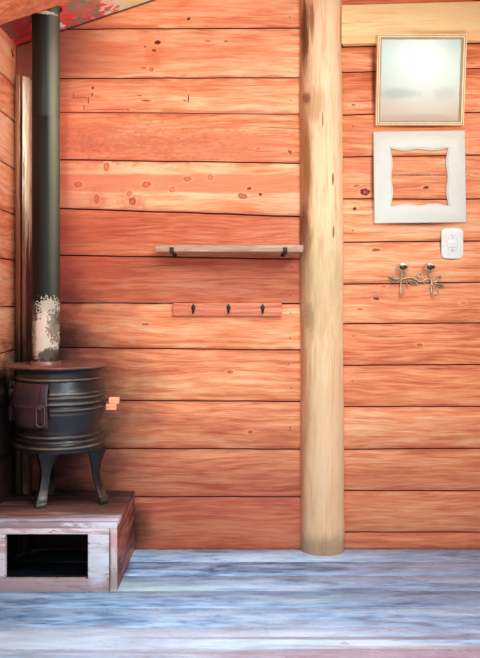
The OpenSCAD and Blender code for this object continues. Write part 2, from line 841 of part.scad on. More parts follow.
// The opening's outline, made wider by grow
function ogee_ring(grow, steps = 16) = [
    for (side = [0:3], i = [0:steps - 1])
        let (u = i / steps, r = ogee(u) + grow, v = (2 * u - 1) * (ogee(0) + grow))
        [v * cos(90 * side) + r * sin(90 * side), v * sin(90 * side) - r * cos(90 * side)]
];

module white_frame() {
    color([0.96, 0.94, 0.9]) placed() translate([384, 0, 1449]) rotate([90, 0, 0]) rotate([0, 0, 0.7]) difference() {
        linear_extrude(16) square([white_w, white_w], center = true);
        translate([0, 0, -1]) linear_extrude(18) polygon(ogee_ring(0));
        translate([0, 0, 12]) linear_extrude(5) polygon(ogee_ring(5));
    }
}

end_sill();
side_sills();
floor_joists();
floor_boards();
ridge_post();
corner_posts();
front_posts();
left_bay_boards();
right_bay_boards();
tie_beam();
left_side_boards();
right_side_boards();
ceiling_boards();
painted_sheet();
front_rafters();
purlins();
roof_sheet_left();
roof_sheet_right();
ridge_cap();
hearth_top();
hearth_front();
hearth_sides();
stove_legs();
lower_rim();
upper_rim();
stove_top();
door_leaf();
door_handle();
hinge_pin();
side_handle_wire();
side_handle_grips();
flue_lower();
flue_upper();
flue_flashing();
flue_cowl();
shelf_board();
shelf_brackets();
tool_rail();
tool_hooks();
switch_plate();
switch_rocker();
hook_rack();
picture_frame();
picture_panel();
white_frame();
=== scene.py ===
"""Looks of the hut's end bay: boarded walls, log post, hearth, wood stove, flue and wall fittings.

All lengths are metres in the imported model's frame: +Z is up and +Y runs towards the end wall.
"""

import json
import logging
import math
import random
from collections.abc import Callable, Sequence
from dataclasses import dataclass, field
from enum import Enum
from functools import partial

import bpy
from mathutils import Matrix, Vector


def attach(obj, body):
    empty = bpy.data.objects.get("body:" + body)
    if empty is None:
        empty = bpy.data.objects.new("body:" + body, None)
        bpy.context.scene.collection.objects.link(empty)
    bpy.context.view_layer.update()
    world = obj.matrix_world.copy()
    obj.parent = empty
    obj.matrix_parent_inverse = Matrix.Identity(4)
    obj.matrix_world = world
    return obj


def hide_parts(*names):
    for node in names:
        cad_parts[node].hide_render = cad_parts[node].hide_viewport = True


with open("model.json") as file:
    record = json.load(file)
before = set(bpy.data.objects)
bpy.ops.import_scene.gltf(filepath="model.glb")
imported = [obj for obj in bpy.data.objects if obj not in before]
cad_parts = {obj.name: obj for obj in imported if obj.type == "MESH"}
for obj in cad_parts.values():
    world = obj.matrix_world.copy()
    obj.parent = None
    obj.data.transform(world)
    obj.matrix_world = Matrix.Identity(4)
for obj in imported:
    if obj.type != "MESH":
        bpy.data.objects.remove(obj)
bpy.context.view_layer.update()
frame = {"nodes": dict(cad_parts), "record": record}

LOG = logging.getLogger("hut_bay")
SLOTS = {part["node"]: part["material_slot"] for part in frame["record"]["subparts"]}

# The hut's own levels start at the floor's top face and at the end wall's inner face
WALL_Y = 0.401
FLOOR_Z = 0.125
HALF_W = 1.187
RIDGE_H = 2.360
SLOPE = math.atan2(0.396, HALF_W)
ROOF_LINE = (FLOOR_Z + RIDGE_H) * math.cos(SLOPE)

# Depth past a wall's inner face from which its boards show their outside, and the fade before it
OUTSIDE = 0.044
FADE = 0.003

# The camera's place, with its height above the floor, the column and row of its picture that lie straight
# before it, and the metres to a pixel of that picture at the end wall
EYE_X, EYE_Y, EYE_RISE = -0.329, -2.619, 0.960
COLUMN, ROW = 236, 303
PIXEL = 0.003897

Colour = tuple[float, ...]
Point = tuple[float, float, float]
Spot = tuple[float, float]
Piece = bpy.types.Object
Rule = Callable[[Vector], object]

# Share of an edge's or a face's direction from which it counts as lying along an axis
ALONG = 0.98

QUARTER = math.pi / 2
FLAT = (QUARTER, 0, 0)
# Near-black of soot deepened into painted shade, for the wood behind the stove
SOOT_AND_SHADE = (26, 18, 24)
# Painted deep shade, inside the hearth box, low behind the stove and on the hinge by the wall
DEEP_SHADE = (10, 11, 15)
WEATHERED = (132, 96, 76)


class Body(Enum):
    """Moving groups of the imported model."""

    BAY = "hut_bay"
    DOOR = "stove_door"


class Pick(Enum):
    """What a rule picks: points by their place, edges by their direction or faces by their normal."""

    POINTS = "VERT"
    EDGES = "EDGE"
    FACES = "FACE"


class Blend(Enum):
    """Ways to lay one colour over another."""

    COVER = "MIX"
    STAIN = "MULTIPLY"


class Grain(Enum):
    """Turn that brings the axis of a timber's fibres to X."""

    X = (0.0, 0.0, 0.0)
    Y = (0.0, 0.0, -QUARTER)
    Z = (0.0, QUARTER, 0.0)


def on_wall(px: float, py: float) -> Spot:
    """Gives X and Z of the place on the end wall at a column and row of the camera's picture."""
    return (EYE_X + (px - COLUMN) * PIXEL, EYE_RISE - (py - ROW) * PIXEL + FLOOR_Z)


@dataclass(frozen=True)
class Part:
    """A piece on the bench. Each step works on it by Blender's own operators and gives the part again."""

    piece: Piece

    @staticmethod
    def made(name: str) -> "Part":
        """Names the active object and fixes its place in its mesh.

        Args:
            name: Name of the piece.

        Returns:
            The part.
        """
        piece = bpy.context.object
        piece.name = piece.data.name = name
        bpy.ops.object.transform_apply(location=True, rotation=True, scale=True)
        return Part(piece)

    @staticmethod
    def block(name: str, low: Sequence[float], high: Sequence[float]) -> "Part":
        """Adds a cube from its lowest to its highest corner.

        Args:
            name: Name of the piece.
            low: Lowest corner.
            high: Highest corner.

        Returns:
            The part.
        """
        middle, size = [(a + b) / 2 for a, b in zip(low, high)], [b - a for a, b in zip(low, high)]
        bpy.ops.mesh.primitive_cube_add(size=1.0, location=middle, scale=size)
        return Part.made(name)

    @staticmethod
    def cylinder(name: str, centre: Point, radius: float, depth: float, sides: int, turn: Point = FLAT) -> "Part":
        """Adds a cylinder, lying along Y unless its axis is turned from +Z in another way."""
        bpy.ops.mesh.primitive_cylinder_add(vertices=sides, radius=radius, depth=depth, location=centre, rotation=turn)
        return Part.made(name)

    @staticmethod
    def curve(
        name: str, points: Sequence[Point], radii: Sequence[float] = (), loop: bool = False, **settings: object
    ) -> "Part":
        """Draws a curve through points and makes it a mesh: straight lines, or a smooth rod where it has radii.

        Args:
            name: Name of the piece.
            points: Its points.
            radii: Radius of the rod at each point.
            loop: Whether the curve is closed.
            **settings: Values of the curve.

        Returns:
            The part.
        """
        data = bpy.data.curves.new(name, "CURVE")
        data.dimensions = "3D"
        for key, value in settings.items():
            setattr(data, key, value)
        spline = data.splines.new("NURBS" if radii else "POLY")
        spline.points.add(len(points) - 1)
        for i, place in enumerate(points):
            spline.points[i].co = (*place, 1.0)
            spline.points[i].radius = radii[i] if radii else 1.0
        if radii:
            spline.order_u = min(4, len(points))
            spline.use_endpoint_u = True
        spline.use_cyclic_u = loop
        piece = bpy.data.objects.new(name, data)
        bpy.context.collection.objects.link(piece)
        Part(piece).focus()
        bpy.ops.object.convert(target="MESH")
        return Part.made(name)

    @staticmethod
    def rod(name: str, points: Sequence[Point], radii: Sequence[float], sides: int) -> "Part":
        """Draws a smooth round rod with closed ends through points, with a radius at each."""
        return Part.curve(
            name, points, radii, bevel_depth=1.0, bevel_resolution=sides, use_fill_caps=True, resolution_u=6
        )

    @staticmethod
    def from_solid(node: str, name: str) -> "Part":
        """Copies a CAD node's mesh and merges its loose triangles into clean faces.

        Args:
            node: Name of the CAD node.
            name: Name of the piece.

        Returns:
            The copy.
        """
        Part(frame["nodes"][node]).focus()
        bpy.ops.object.duplicate(linked=False)
        piece = bpy.context.object
        piece.parent = None
        for key in list(piece.keys()):
            del piece[key]
        piece.name = piece.data.name = name

        def clean() -> None:
            """Merges doubled points and flat faces."""
            bpy.ops.mesh.remove_doubles(threshold=2e-5)
            bpy.ops.mesh.dissolve_limited(angle_limit=math.radians(1.0))

        return Part(piece).edit(clean)

    @staticmethod
    def join(name: str, parts: "Sequence[Part]") -> "Part":
        """Joins parts into one piece.

        Args:
            name: Name of the piece.
            parts: Parts to join.

        Returns:
            The joined part.
        """
        parts[0].focus()
        for part in parts:
            part.piece.select_set(True)
        bpy.ops.object.join()
        piece = bpy.context.object
        piece.name = piece.data.name = name
        return Part(piece)

    def focus(self) -> None:
        """Selects this piece alone and makes it active."""
        bpy.ops.object.select_all(action="DESELECT")
        self.piece.select_set(True)
        bpy.context.view_layer.objects.active = self.piece

    def edit(self, step: Callable[[], object], kind: Pick = Pick.POINTS, wanted: Rule | None = None) -> "Part":
        """Takes a step in edit mode with all selected, or with what a rule picks.

        Args:
            step: The step.
            kind: What the rule picks.
            wanted: The rule.

        Returns:
            The part.
        """
        self.focus()
        bpy.ops.object.mode_set(mode="EDIT")
        if wanted is None:
            bpy.ops.mesh.select_all(action="SELECT")
        else:
            bpy.ops.mesh.select_mode(type=kind.value)
            bpy.ops.mesh.select_all(action="DESELECT")
            bpy.ops.object.mode_set(mode="OBJECT")
            mesh = self.piece.data
            points = mesh.vertices
            if kind is Pick.EDGES:
                for edge in mesh.edges:
                    first, last = edge.vertices
                    edge.select = wanted((points[last].co - points[first].co).normalized())
            else:
                for item in points if kind is Pick.POINTS else mesh.polygons:
                    item.select = wanted(item.co if kind is Pick.POINTS else item.normal)
            bpy.ops.object.mode_set(mode="EDIT")
        step()
        bpy.ops.object.mode_set(mode="OBJECT")
        return self

    def shift(self, wanted: Rule, offset: Sequence[float]) -> "Part":
        """Moves the vertices that a rule picks."""
        return self.edit(lambda: bpy.ops.transform.translate(value=offset), Pick.POINTS, wanted)

    def cut_along(self, axis: int, cuts: int) -> "Part":
        """Subdivides the edges that run along X, Y or Z, which are axes 0, 1 and 2."""
        cut = partial(bpy.ops.mesh.subdivide, number_cuts=cuts)
        return self.edit(cut, Pick.EDGES, lambda way: abs(way[axis]) > ALONG)

    def trim(self, place: Point, normal: Point) -> "Part":
        """Cuts away all that lies past a plane and closes the cut."""
        return self.edit(lambda: bpy.ops.mesh.bisect(plane_co=place, plane_no=normal, use_fill=True, clear_outer=True))

    def trim_roof(self, drop: float = 0.0) -> "Part":
        """Cuts the piece off at both roof slopes.

        Args:
            drop: How far below the sheet's underside the cut lies.

        Returns:
            The part.
        """
        for side in (-1, 1):
            self.trim((0, 0, FLOOR_Z + RIDGE_H - drop), (side * math.sin(SLOPE), 0, math.cos(SLOPE)))
        return self

    def modify(self, kind: str, **settings: object) -> "Part":
        """Adds a modifier and applies it.

        Args:
            kind: Modifier type.
            **settings: Values of the modifier.

        Returns:
            The part.
        """
        modifier = self.piece.modifiers.new(kind.title(), kind)
        for key, value in settings.items():
            setattr(modifier, key, value)
        self.focus()
        bpy.ops.object.modifier_apply(modifier=modifier.name)
        return self

    def soften(self, width: float, segments: int = 2, angle: float = 50) -> "Part":
        """Rounds the edges that turn by more than an angle in degrees."""
        limit = math.radians(angle)
        return self.modify("BEVEL", width=width, segments=segments, limit_method="ANGLE", angle_limit=limit)

    def uneven(self, size: float, depth: float, direction: str = "NORMAL") -> "Part":
        """Makes the surface uneven with soft noise.

        Args:
            size: Size of the bumps.
            depth: Their height.
            direction: Axis or NORMAL that points move along.

        Returns:
            The part.
        """
        name = f"bumps_{int(size * 10000)}"
        texture = bpy.data.textures.get(name) or bpy.data.textures.new(name, "CLOUDS")
        texture.noise_scale, texture.noise_depth = size, 1
        return self.modify(
            "DISPLACE", texture=texture, strength=depth, mid_level=0.5, texture_coords="LOCAL", direction=direction
        )

    def tidy(self, gap: float = 1e-5) -> "Part":
        """Merges points closer than a gap and turns all faces outwards."""
        self.edit(lambda: bpy.ops.mesh.remove_doubles(threshold=gap))
        return self.edit(lambda: bpy.ops.mesh.normals_make_consistent(inside=False))

    def smooth(self, angle: float = 35) -> "Part":
        """Shades smooth across edges that turn by less than an angle.

        Args:
            angle: The angle in degrees.

        Returns:
            The part.
        """
        self.focus()
        bpy.ops.object.shade_smooth_by_angle(angle=math.radians(angle))
        return self

    def grade(self, **rules: Callable[[Vector], float]) -> "Part":
        """Writes numbers on all points of the piece, for its finish.

        Args:
            **rules: Attribute names and the rules that give their values for a place.

        Returns:
            The part.
        """
        for name, rule in rules.items():
            layer = self.piece.data.attributes.new(name, "FLOAT", "POINT")
            layer.data.foreach_set("value", [rule(point.co) for point in self.piece.data.vertices])
        return self

    def mark(self, seed: float, tone: float) -> "Part":
        """Gives a board the number that its grain starts from and its tone."""
        return self.grade(board_seed=lambda _: seed, board_tone=lambda _: tone)

    def place(self, matrix: Matrix) -> "Part":
        """Turns and moves the piece and fixes its place in its mesh.

        Args:
            matrix: Its move.

        Returns:
            The part.
        """
        self.piece.matrix_world = matrix
        self.focus()
        bpy.ops.object.transform_apply(location=True, rotation=True, scale=True)
        return self

    def copy(self, name: str, offset: Sequence[float] = (0, 0, 0)) -> "Part":
        """Copies the piece with its own mesh and moves the copy.

        Args:
            name: Name of the copy.
            offset: Its distance from the first.

        Returns:
            The copy.
        """
        self.focus()
        bpy.ops.object.duplicate(linked=False)
        return Part.made(name).place(Matrix.Translation(offset))

    def carve(self, cutter: "Part") -> "Part":
        """Takes a cutter's form out of the piece and throws the cutter away.

        Args:
            cutter: The cutter.

        Returns:
            The part.
        """
        self.modify("BOOLEAN", object=cutter.piece, operation="DIFFERENCE", solver="EXACT")
        bpy.data.objects.remove(cutter.piece)
        return self


def linear(colour: object) -> object:
    """Turns a colour as a screen shows it, 0 to 255, into the linear one that shaders use.

    Args:
        colour: The colour. A wire or a linear colour of four numbers stays as it is.

    Returns:
        The linear colour with an alpha of 1, or the wire.
    """
    if isinstance(colour, Wire) or len(colour) == 4:
        return colour
    parts = [part / 255 for part in colour]
    return (*(c / 12.92 if c <= 0.04045 else ((c + 0.055) / 1.055) ** 2.4 for c in parts), 1.0)


class Sheet:
    """A node tree, with short calls that place nodes on it."""

    def __init__(self, tree: bpy.types.NodeTree, effects: "Effects | None" = None) -> None:
        """Keeps the tree and the effects that its nodes may use."""
        self.tree, self.effects = tree, effects

    def add(self, kind: str, inputs: dict | None = None, out: str | int = 0, **settings: object) -> "Wire":
        """Places a node and feeds it.

        Args:
            kind: Node type without its ShaderNode prefix.
            inputs: Values and wires of its inputs.
            out: The output to give.
            **settings: Values of the node.

        Returns:
            The output.
        """
        node = self.tree.nodes.new(f"ShaderNode{kind}")
        for key, value in settings.items():
            setattr(node, key, value)
        for key, value in (inputs or {}).items():
            if isinstance(value, Wire):
                self.tree.links.new(value.socket, node.inputs[key])
            else:
                node.inputs[key].default_value = value
        return Wire(self, node.outputs[out])

    def place(self, grain: Grain = Grain.X) -> "Wire":
        """Gives the place on the piece, turned so that X runs along the fibres.

        Args:
            grain: Axis of the fibres.

        Returns:
            The place.
        """
        place = self.add("TexCoord", out="Object")
        if grain is Grain.X:
            return place
        scale = (1.0, 3.0, 1.0) if grain is Grain.Z else (1.0, 1.0, 1.0)
        return self.add("Mapping", {"Vector": place, "Rotation": grain.value, "Scale": scale})

    def number(self, name: str) -> "Wire":
        """Reads a number that is written on the piece's points."""
        return self.add("Attribute", out="Fac", attribute_name=name)

    def scaled(self, vector: object, scale: "Wire") -> "Wire":
        """Multiplies a vector by a number."""
        return self.add("VectorMath", {0: vector, "Scale": scale}, operation="SCALE")

    def mix(self, share: object, under: object, over: object, how: Blend = Blend.COVER) -> "Wire":
        """Lays a share of one colour over another."""
        colours = {0: share, 6: linear(under), 7: linear(over)}
        return self.add("Mix", colours, 2, data_type="RGBA", blend_type=how.value, clamp_factor=True)

    def ramp(self, value: "Wire", *stops: tuple[float, Colour]) -> "Wire":
        """Colours a value between 0 and 1.

        Args:
            value: The value.
            *stops: Places and colours, in order.

        Returns:
            The colour.
        """
        colour = self.add("ValToRGB", {"Fac": value}, "Color")
        band = colour.socket.node.color_ramp
        while len(band.elements) < len(stops):
            band.elements.new(0.5)
        for element, (where, shade) in zip(band.elements, stops):
            element.position, element.color = where, linear(shade)
        return colour

    def group(self, group: "Group", **inputs: object) -> "list[Wire]":
        """Places a node group and gives its outputs."""
        node = self.add("Group", inputs, node_tree=group.tree).socket.node
        return [Wire(self, socket) for socket in node.outputs]

    def patches(self, place: "Wire", scale: Point, share: float, soft: float) -> "Wire":
        """Gives the mask of the worn patches."""
        return self.group(self.effects.patches, Vector=place, Scale=scale, Share=share, Soft=soft)[0]

    def specks(self, place: "Wire", scale: Point, size: float) -> "Wire":
        """Gives the mask of the fine specks."""
        return self.group(self.effects.specks, Vector=place, Scale=scale, Size=size)[0]

    def marked(self, colour: object, marks: "tuple[Mark, ...]") -> "Wire":
        """Lays marks over a colour.

        Args:
            colour: Colour under the marks.
            marks: Marks to lay, first one lowest.

        Returns:
            The colour.
        """
        place = self.place()
        noises = {streak: place.noise(streak, 4.0, 0.62) for streak in {mark.streak: 0 for mark in marks}}
        for mark in marks:
            mask = self.group(
                self.effects.stain, Vector=place, Place=mark.place, Reach=mark.reach, Ragged=mark.ragged,
                Noise=noises[mark.streak], Soft=mark.soft,
            )[0]
            colour = self.mix(mask * mark.strength, colour, mark.colour, mark.how)
        return colour

    def shaded(self, colour: object, glooms: "tuple[Gloom, ...]") -> "Wire":
        """Darkens a colour past planes.

        Args:
            colour: Colour to darken.
            glooms: Planes, first one lowest.

        Returns:
            The colour.
        """
        for gloom in glooms:
            along = self.place().vector("DOT_PRODUCT", gloom.normal, "Value")
            share = along.span(gloom.start, gloom.end, 0.0, gloom.strength)
            if gloom.stop:
                share = share * along.span(gloom.stop - FADE, gloom.stop, 1.0, 0.0)
            colour = self.mix(share, colour, gloom.colour)
        return colour

    def surface(
        self, colour: object, rough: object, height: "Wire | None" = None, relief: float = 0.0, **fixed: float
    ) -> None:
        """Places the surface shader and the output.

        Args:
            colour: Base colour.
            rough: Roughness.
            height: Height of the surface's bumps between 0 and 1.
            relief: Their depth in metres.
            **fixed: Plain values of other inputs, with _ for a space in a name.
        """
        inputs = {"Base Color": linear(colour), "Roughness": rough}
        inputs |= {key.replace("_", " "): value for key, value in fixed.items()}
        if height is not None:
            inputs["Normal"] = self.add("Bump", {"Strength": 1.0, "Distance": relief, "Height": height}, "Normal")
        self.output("Material", self.add("BsdfPrincipled", inputs))

    def output(self, kind: str, shader: "Wire") -> None:
        """Links a shader to the output of a Material or World."""
        self.tree.links.new(shader.socket, self.tree.nodes.new(f"ShaderNodeOutput{kind}").inputs["Surface"])


@dataclass(frozen=True)
class Wire:
    """A value on a sheet. Its methods, sums and products place the nodes that work out the next value."""

    sheet: Sheet
    socket: bpy.types.NodeSocket

    def math(self, how: str, other: object, clamp: bool = False) -> "Wire":
        """Combines this number with another one."""
        return self.sheet.add("Math", {0: self, 1: other}, operation=how, use_clamp=clamp)

    def after(self, how: str, other: object) -> "Wire":
        """Combines another number with this one."""
        return self.sheet.add("Math", {0: other, 1: self}, operation=how)

    def __add__(self, other: object) -> "Wire":
        """Adds a number."""
        return self.math("ADD", other)

    def __radd__(self, other: object) -> "Wire":
        """Adds this number to another one."""
        return self.after("ADD", other)

    def __sub__(self, other: object) -> "Wire":
        """Takes a number away."""
        return self.math("SUBTRACT", other)

    def __rsub__(self, other: object) -> "Wire":
        """Takes this number away from another one."""
        return self.after("SUBTRACT", other)

    def __mul__(self, other: object) -> "Wire":
        """Multiplies by a number."""
        return self.math("MULTIPLY", other)

    def __truediv__(self, other: object) -> "Wire":
        """Divides by a number."""
        return self.math("DIVIDE", other)

    def vector(self, how: str, other: object, out: str = "Vector") -> "Wire":
        """Combines this vector with another one."""
        return self.sheet.add("VectorMath", {0: self, 1: other}, out, operation=how)

    def length(self) -> "Wire":
        """Gives the length of this vector."""
        return self.vector("LENGTH", (0, 0, 0), "Value")

    def stretch(self, scale: Point, offset: Point = (0, 0, 0)) -> "Wire":
        """Scales a pattern's place, then moves it."""
        return self.sheet.add("Mapping", {"Vector": self, "Scale": scale, "Location": offset})

    def noise(
        self, scale: Point | float, detail: float = 2.0, rough: float = 0.5, warp: float = 0.0,
        offset: Point = (0, 0, 0),
    ) -> "Wire":
        """Gives soft noise between 0 and 1 at this place.

        Args:
            scale: Bumps per metre, one number or one for each axis.
            detail: Number of finer layers.
            rough: Strength of the finer layers.
            warp: Distortion.
            offset: Move of the place, where the scale has three numbers.

        Returns:
            The noise.
        """
        place, size = (self.stretch(scale, offset), 1.0) if isinstance(scale, tuple) else (self, scale)
        values = {"Vector": place, "Scale": size, "Detail": detail, "Roughness": rough, "Distortion": warp}
        return self.sheet.add("TexNoise", values, "Fac")

    def cells(self, scale: float = 1.0) -> "Wire":
        """Gives the distance to the nearest of scattered points."""
        return self.sheet.add("TexVoronoi", {"Vector": self, "Scale": scale}, "Distance")

    def span(self, low: object, high: object, start: object = 0.0, end: float = 1.0) -> "Wire":
        """Stretches this value's range from low to high to the range from start to end, with soft ends."""
        values = {"Value": self, "From Min": low, "From Max": high, "To Min": start, "To Max": end}
        return self.sheet.add("MapRange", values, "Result", interpolation_type="SMOOTHSTEP")


class Group(Sheet):
    """A node group: a sheet with inputs and outputs."""

    def __init__(self, name: str, inputs: str, outputs: str) -> None:
        """Starts the group.

        Args:
            name: Name of the group.
            inputs: Names of its inputs, with a star at those that are vectors.
            outputs: Names of its outputs, in the same way.
        """
        super().__init__(bpy.data.node_groups.new(name, "ShaderNodeTree"))
        for way, names in (("INPUT", inputs), ("OUTPUT", outputs)):
            for key in names.split():
                kind = "NodeSocketVector" if key.endswith("*") else "NodeSocketFloat"
                self.tree.interface.new_socket(name=key.strip("*"), in_out=way, socket_type=kind)
        start = self.tree.nodes.new("NodeGroupInput")
        self.given = [Wire(self, start.outputs[key.strip("*")]) for key in inputs.split()]

    def give(self, **outputs: Wire) -> "Group":
        """Links the outputs.

        Args:
            **outputs: Their wires.

        Returns:
            The group.
        """
        end = self.tree.nodes.new("NodeGroupOutput")
        for key, wire in outputs.items():
            self.tree.links.new(wire.socket, end.inputs[key])
        return self


class Effects:
    """The effects that several finishes share, each a node group that is built once."""

    def __init__(self) -> None:
        """Builds the groups."""
        self.grain, self.knot, self.stain = self._grain(), self._knot(), self._soft_mark()
        self.patches, self.specks = self._patches(), self._specks()

    @staticmethod
    def _grain() -> Group:
        """Makes the rings, fibres, mottling, drift and splits of a timber whose fibres run along X.

        Returns:
            The group.
        """
        group = Group("timber_grain", "Vector* Seed Rings Flow", "Figure Fibre Drift Mottle Splits")
        place, seed, rings, flow = group.given
        place = place.vector("ADD", group.scaled((3.7, 5.3, 7.9), seed))
        swirl = place.noise((2.6, 7.0, 8.0), 1.5) - 0.5
        place = place.vector("ADD", group.add("CombineXYZ", {"Z": swirl * (flow * 0.010)}))
        band = {"Vector": place.stretch((0.12, 0.8, 1.0)), "Scale": rings, "Distortion": flow}
        band |= {"Detail": 2.0, "Detail Scale": 0.8, "Detail Roughness": 0.5}
        wave = group.add("TexWave", band, "Fac", wave_type="BANDS", bands_direction="Z", wave_profile="SIN")
        show = place.noise((1.4, 4.0, 5.0), 1.0).span(0.40, 0.62)
        fine = place.noise((12.0, 70.0, 330.0), 2.0, 0.6)
        broad = place.noise((5.0, 30.0, 120.0), 2.0, 0.5, 0.4)
        some = place.noise((2.6, 9.0, 11.0)).span(0.54, 0.64)
        dashes = place.stretch((9.0, 30.0, 90.0)).cells().span(0.12, 0.05) * some
        where = place.noise((3.1, 9.0, 9.0), offset=(8.5, 3.1, 2.7)).span(0.46, 0.60)
        hairs = place.noise((4.5, 40.0, 190.0), 1.0, offset=(5.5, 1.1, 7.7)).span(0.64, 0.70) * where
        return group.give(
            Figure=(wave - 0.5) * show + 0.5,
            Fibre=(fine + broad).span(0.70, 1.30),
            Drift=place.noise((1.3, 6.0, 9.0), 3.0, 0.5, 0.35).span(0.30, 0.70),
            Mottle=place.noise((6.0, 24.0, 48.0), 4.0, 0.60, 0.3).span(0.32, 0.68),
            Splits=dashes.math("MAXIMUM", hairs * 0.7),
        )

    @staticmethod
    def _knot() -> Group:
        """Makes one knot, which darkens a spot, bends the fibres round it and adds to the knots before it.

        Returns:
            The group.
        """
        group = Group("timber_knot", "Vector* Core Halo Place* Size* Edge Depth Hollow", "Vector* Core Halo")
        vector, core, halo, place, size, edge, depth, hollow = group.given
        away = vector.vector("SUBTRACT", place)
        distance = away.vector("DIVIDE", size).length()
        pull = group.scaled(away.vector("MULTIPLY", (0.0, 0.0, 1.0)), distance.span(3.4, 0.6, 0.0, 0.85))
        ragged = distance + edge * 1.8
        rim = ragged.span(1.55, 0.95) * ragged.span(0.55, 0.95, hollow, 1.0)
        return group.give(
            Vector=vector.vector("SUBTRACT", pull),
            Core=core.math("MAXIMUM", rim * depth),
            Halo=halo.math("MAXIMUM", distance.span(2.4, 1.0)),
        )

    @staticmethod
    def _soft_mark() -> Group:
        """Makes a soft ragged spot round a place: the mask of each mark, stains and wear as well as painted shade and
        painted highlights.

        Returns:
            The group.
        """
        group = Group("soft_mark_mask", "Vector* Place* Reach* Ragged Noise Soft", "Mask")
        vector, place, reach, ragged, noise, soft = group.given
        distance = vector.vector("SUBTRACT", place).vector("DIVIDE", reach).length()
        return group.give(Mask=(distance + (noise - 0.5) * ragged).span(1.0 + soft, 1.0 - soft))

    @staticmethod
    def _patches() -> Group:
        """Makes worn patches on a share of the surface, with clear, ragged borders.

        Returns:
            The group.
        """
        group = Group("worn_patches", "Vector* Scale* Share Soft", "Mask")
        vector, scale, share, soft = group.given
        noise = vector.vector("MULTIPLY", scale).noise(1.0, 6.0, 0.62)
        return group.give(Mask=((noise - (0.78 - share * 0.56)) / soft).span(-0.5, 0.5))

    @staticmethod
    def _specks() -> Group:
        """Makes small scattered specks.

        Returns:
            The group.
        """
        group = Group("fine_specks", "Vector* Scale* Size", "Mask")
        vector, scale, size = group.given
        place = vector.vector("MULTIPLY", scale)
        spot = place.vector("ADD", place.noise(2.0)).cells() / size
        return group.give(Mask=spot.span(1.2, 0.6) * place.noise(0.37, 1.0).span(0.45, 0.6))


@dataclass(frozen=True)
class Knot:
    """A knot at a place of the timber, with its half width and half height in millimetres and its darkness, 0 to 1."""

    place: Point
    wide: float
    high: float
    depth: float


@dataclass(frozen=True)
class Mark:
    """A stain, bleached spot or worn place on a surface, or painted shade, a painted shadow or a painted highlight.

    Its edge follows noise with streak bumps per metre along each axis, by as much as ragged says, and is soft.
    """

    place: Point
    reach: Point
    colour: Colour
    strength: float
    ragged: float
    streak: Point
    soft: float
    how: Blend = Blend.COVER


@dataclass(frozen=True)
class Gloom:
    """A colour past a plane, up to a second one if it stops: painted shade in the depth of the joints and along the
    line under the roof, painted shadow lines on the beam, or the weathered outside of the boards.
    """

    normal: Point
    start: float
    end: float
    colour: Colour = (34, 14, 12)
    strength: float = 0.92
    stop: float = 0.0


@dataclass(frozen=True)
class Finish:
    """A finish, which builds its own material."""

    marks: tuple[Mark, ...] = field(default=(), kw_only=True)
    glooms: tuple[Gloom, ...] = field(default=(), kw_only=True)

    def build(self, name: str, effects: Effects | None = None) -> bpy.types.Material:
        """Makes the material.

        Args:
            name: Name of the material.
            effects: Shared effects.

        Returns:
            The material.
        """
        material = bpy.data.materials.new(name)
        material.use_nodes = True
        material.node_tree.nodes.clear()
        self.paint(Sheet(material.node_tree, effects))
        return material

    def paint(self, sheet: Sheet) -> None:
        """Places the nodes on a sheet, which every kind of finish does in its own way."""
        raise NotImplementedError


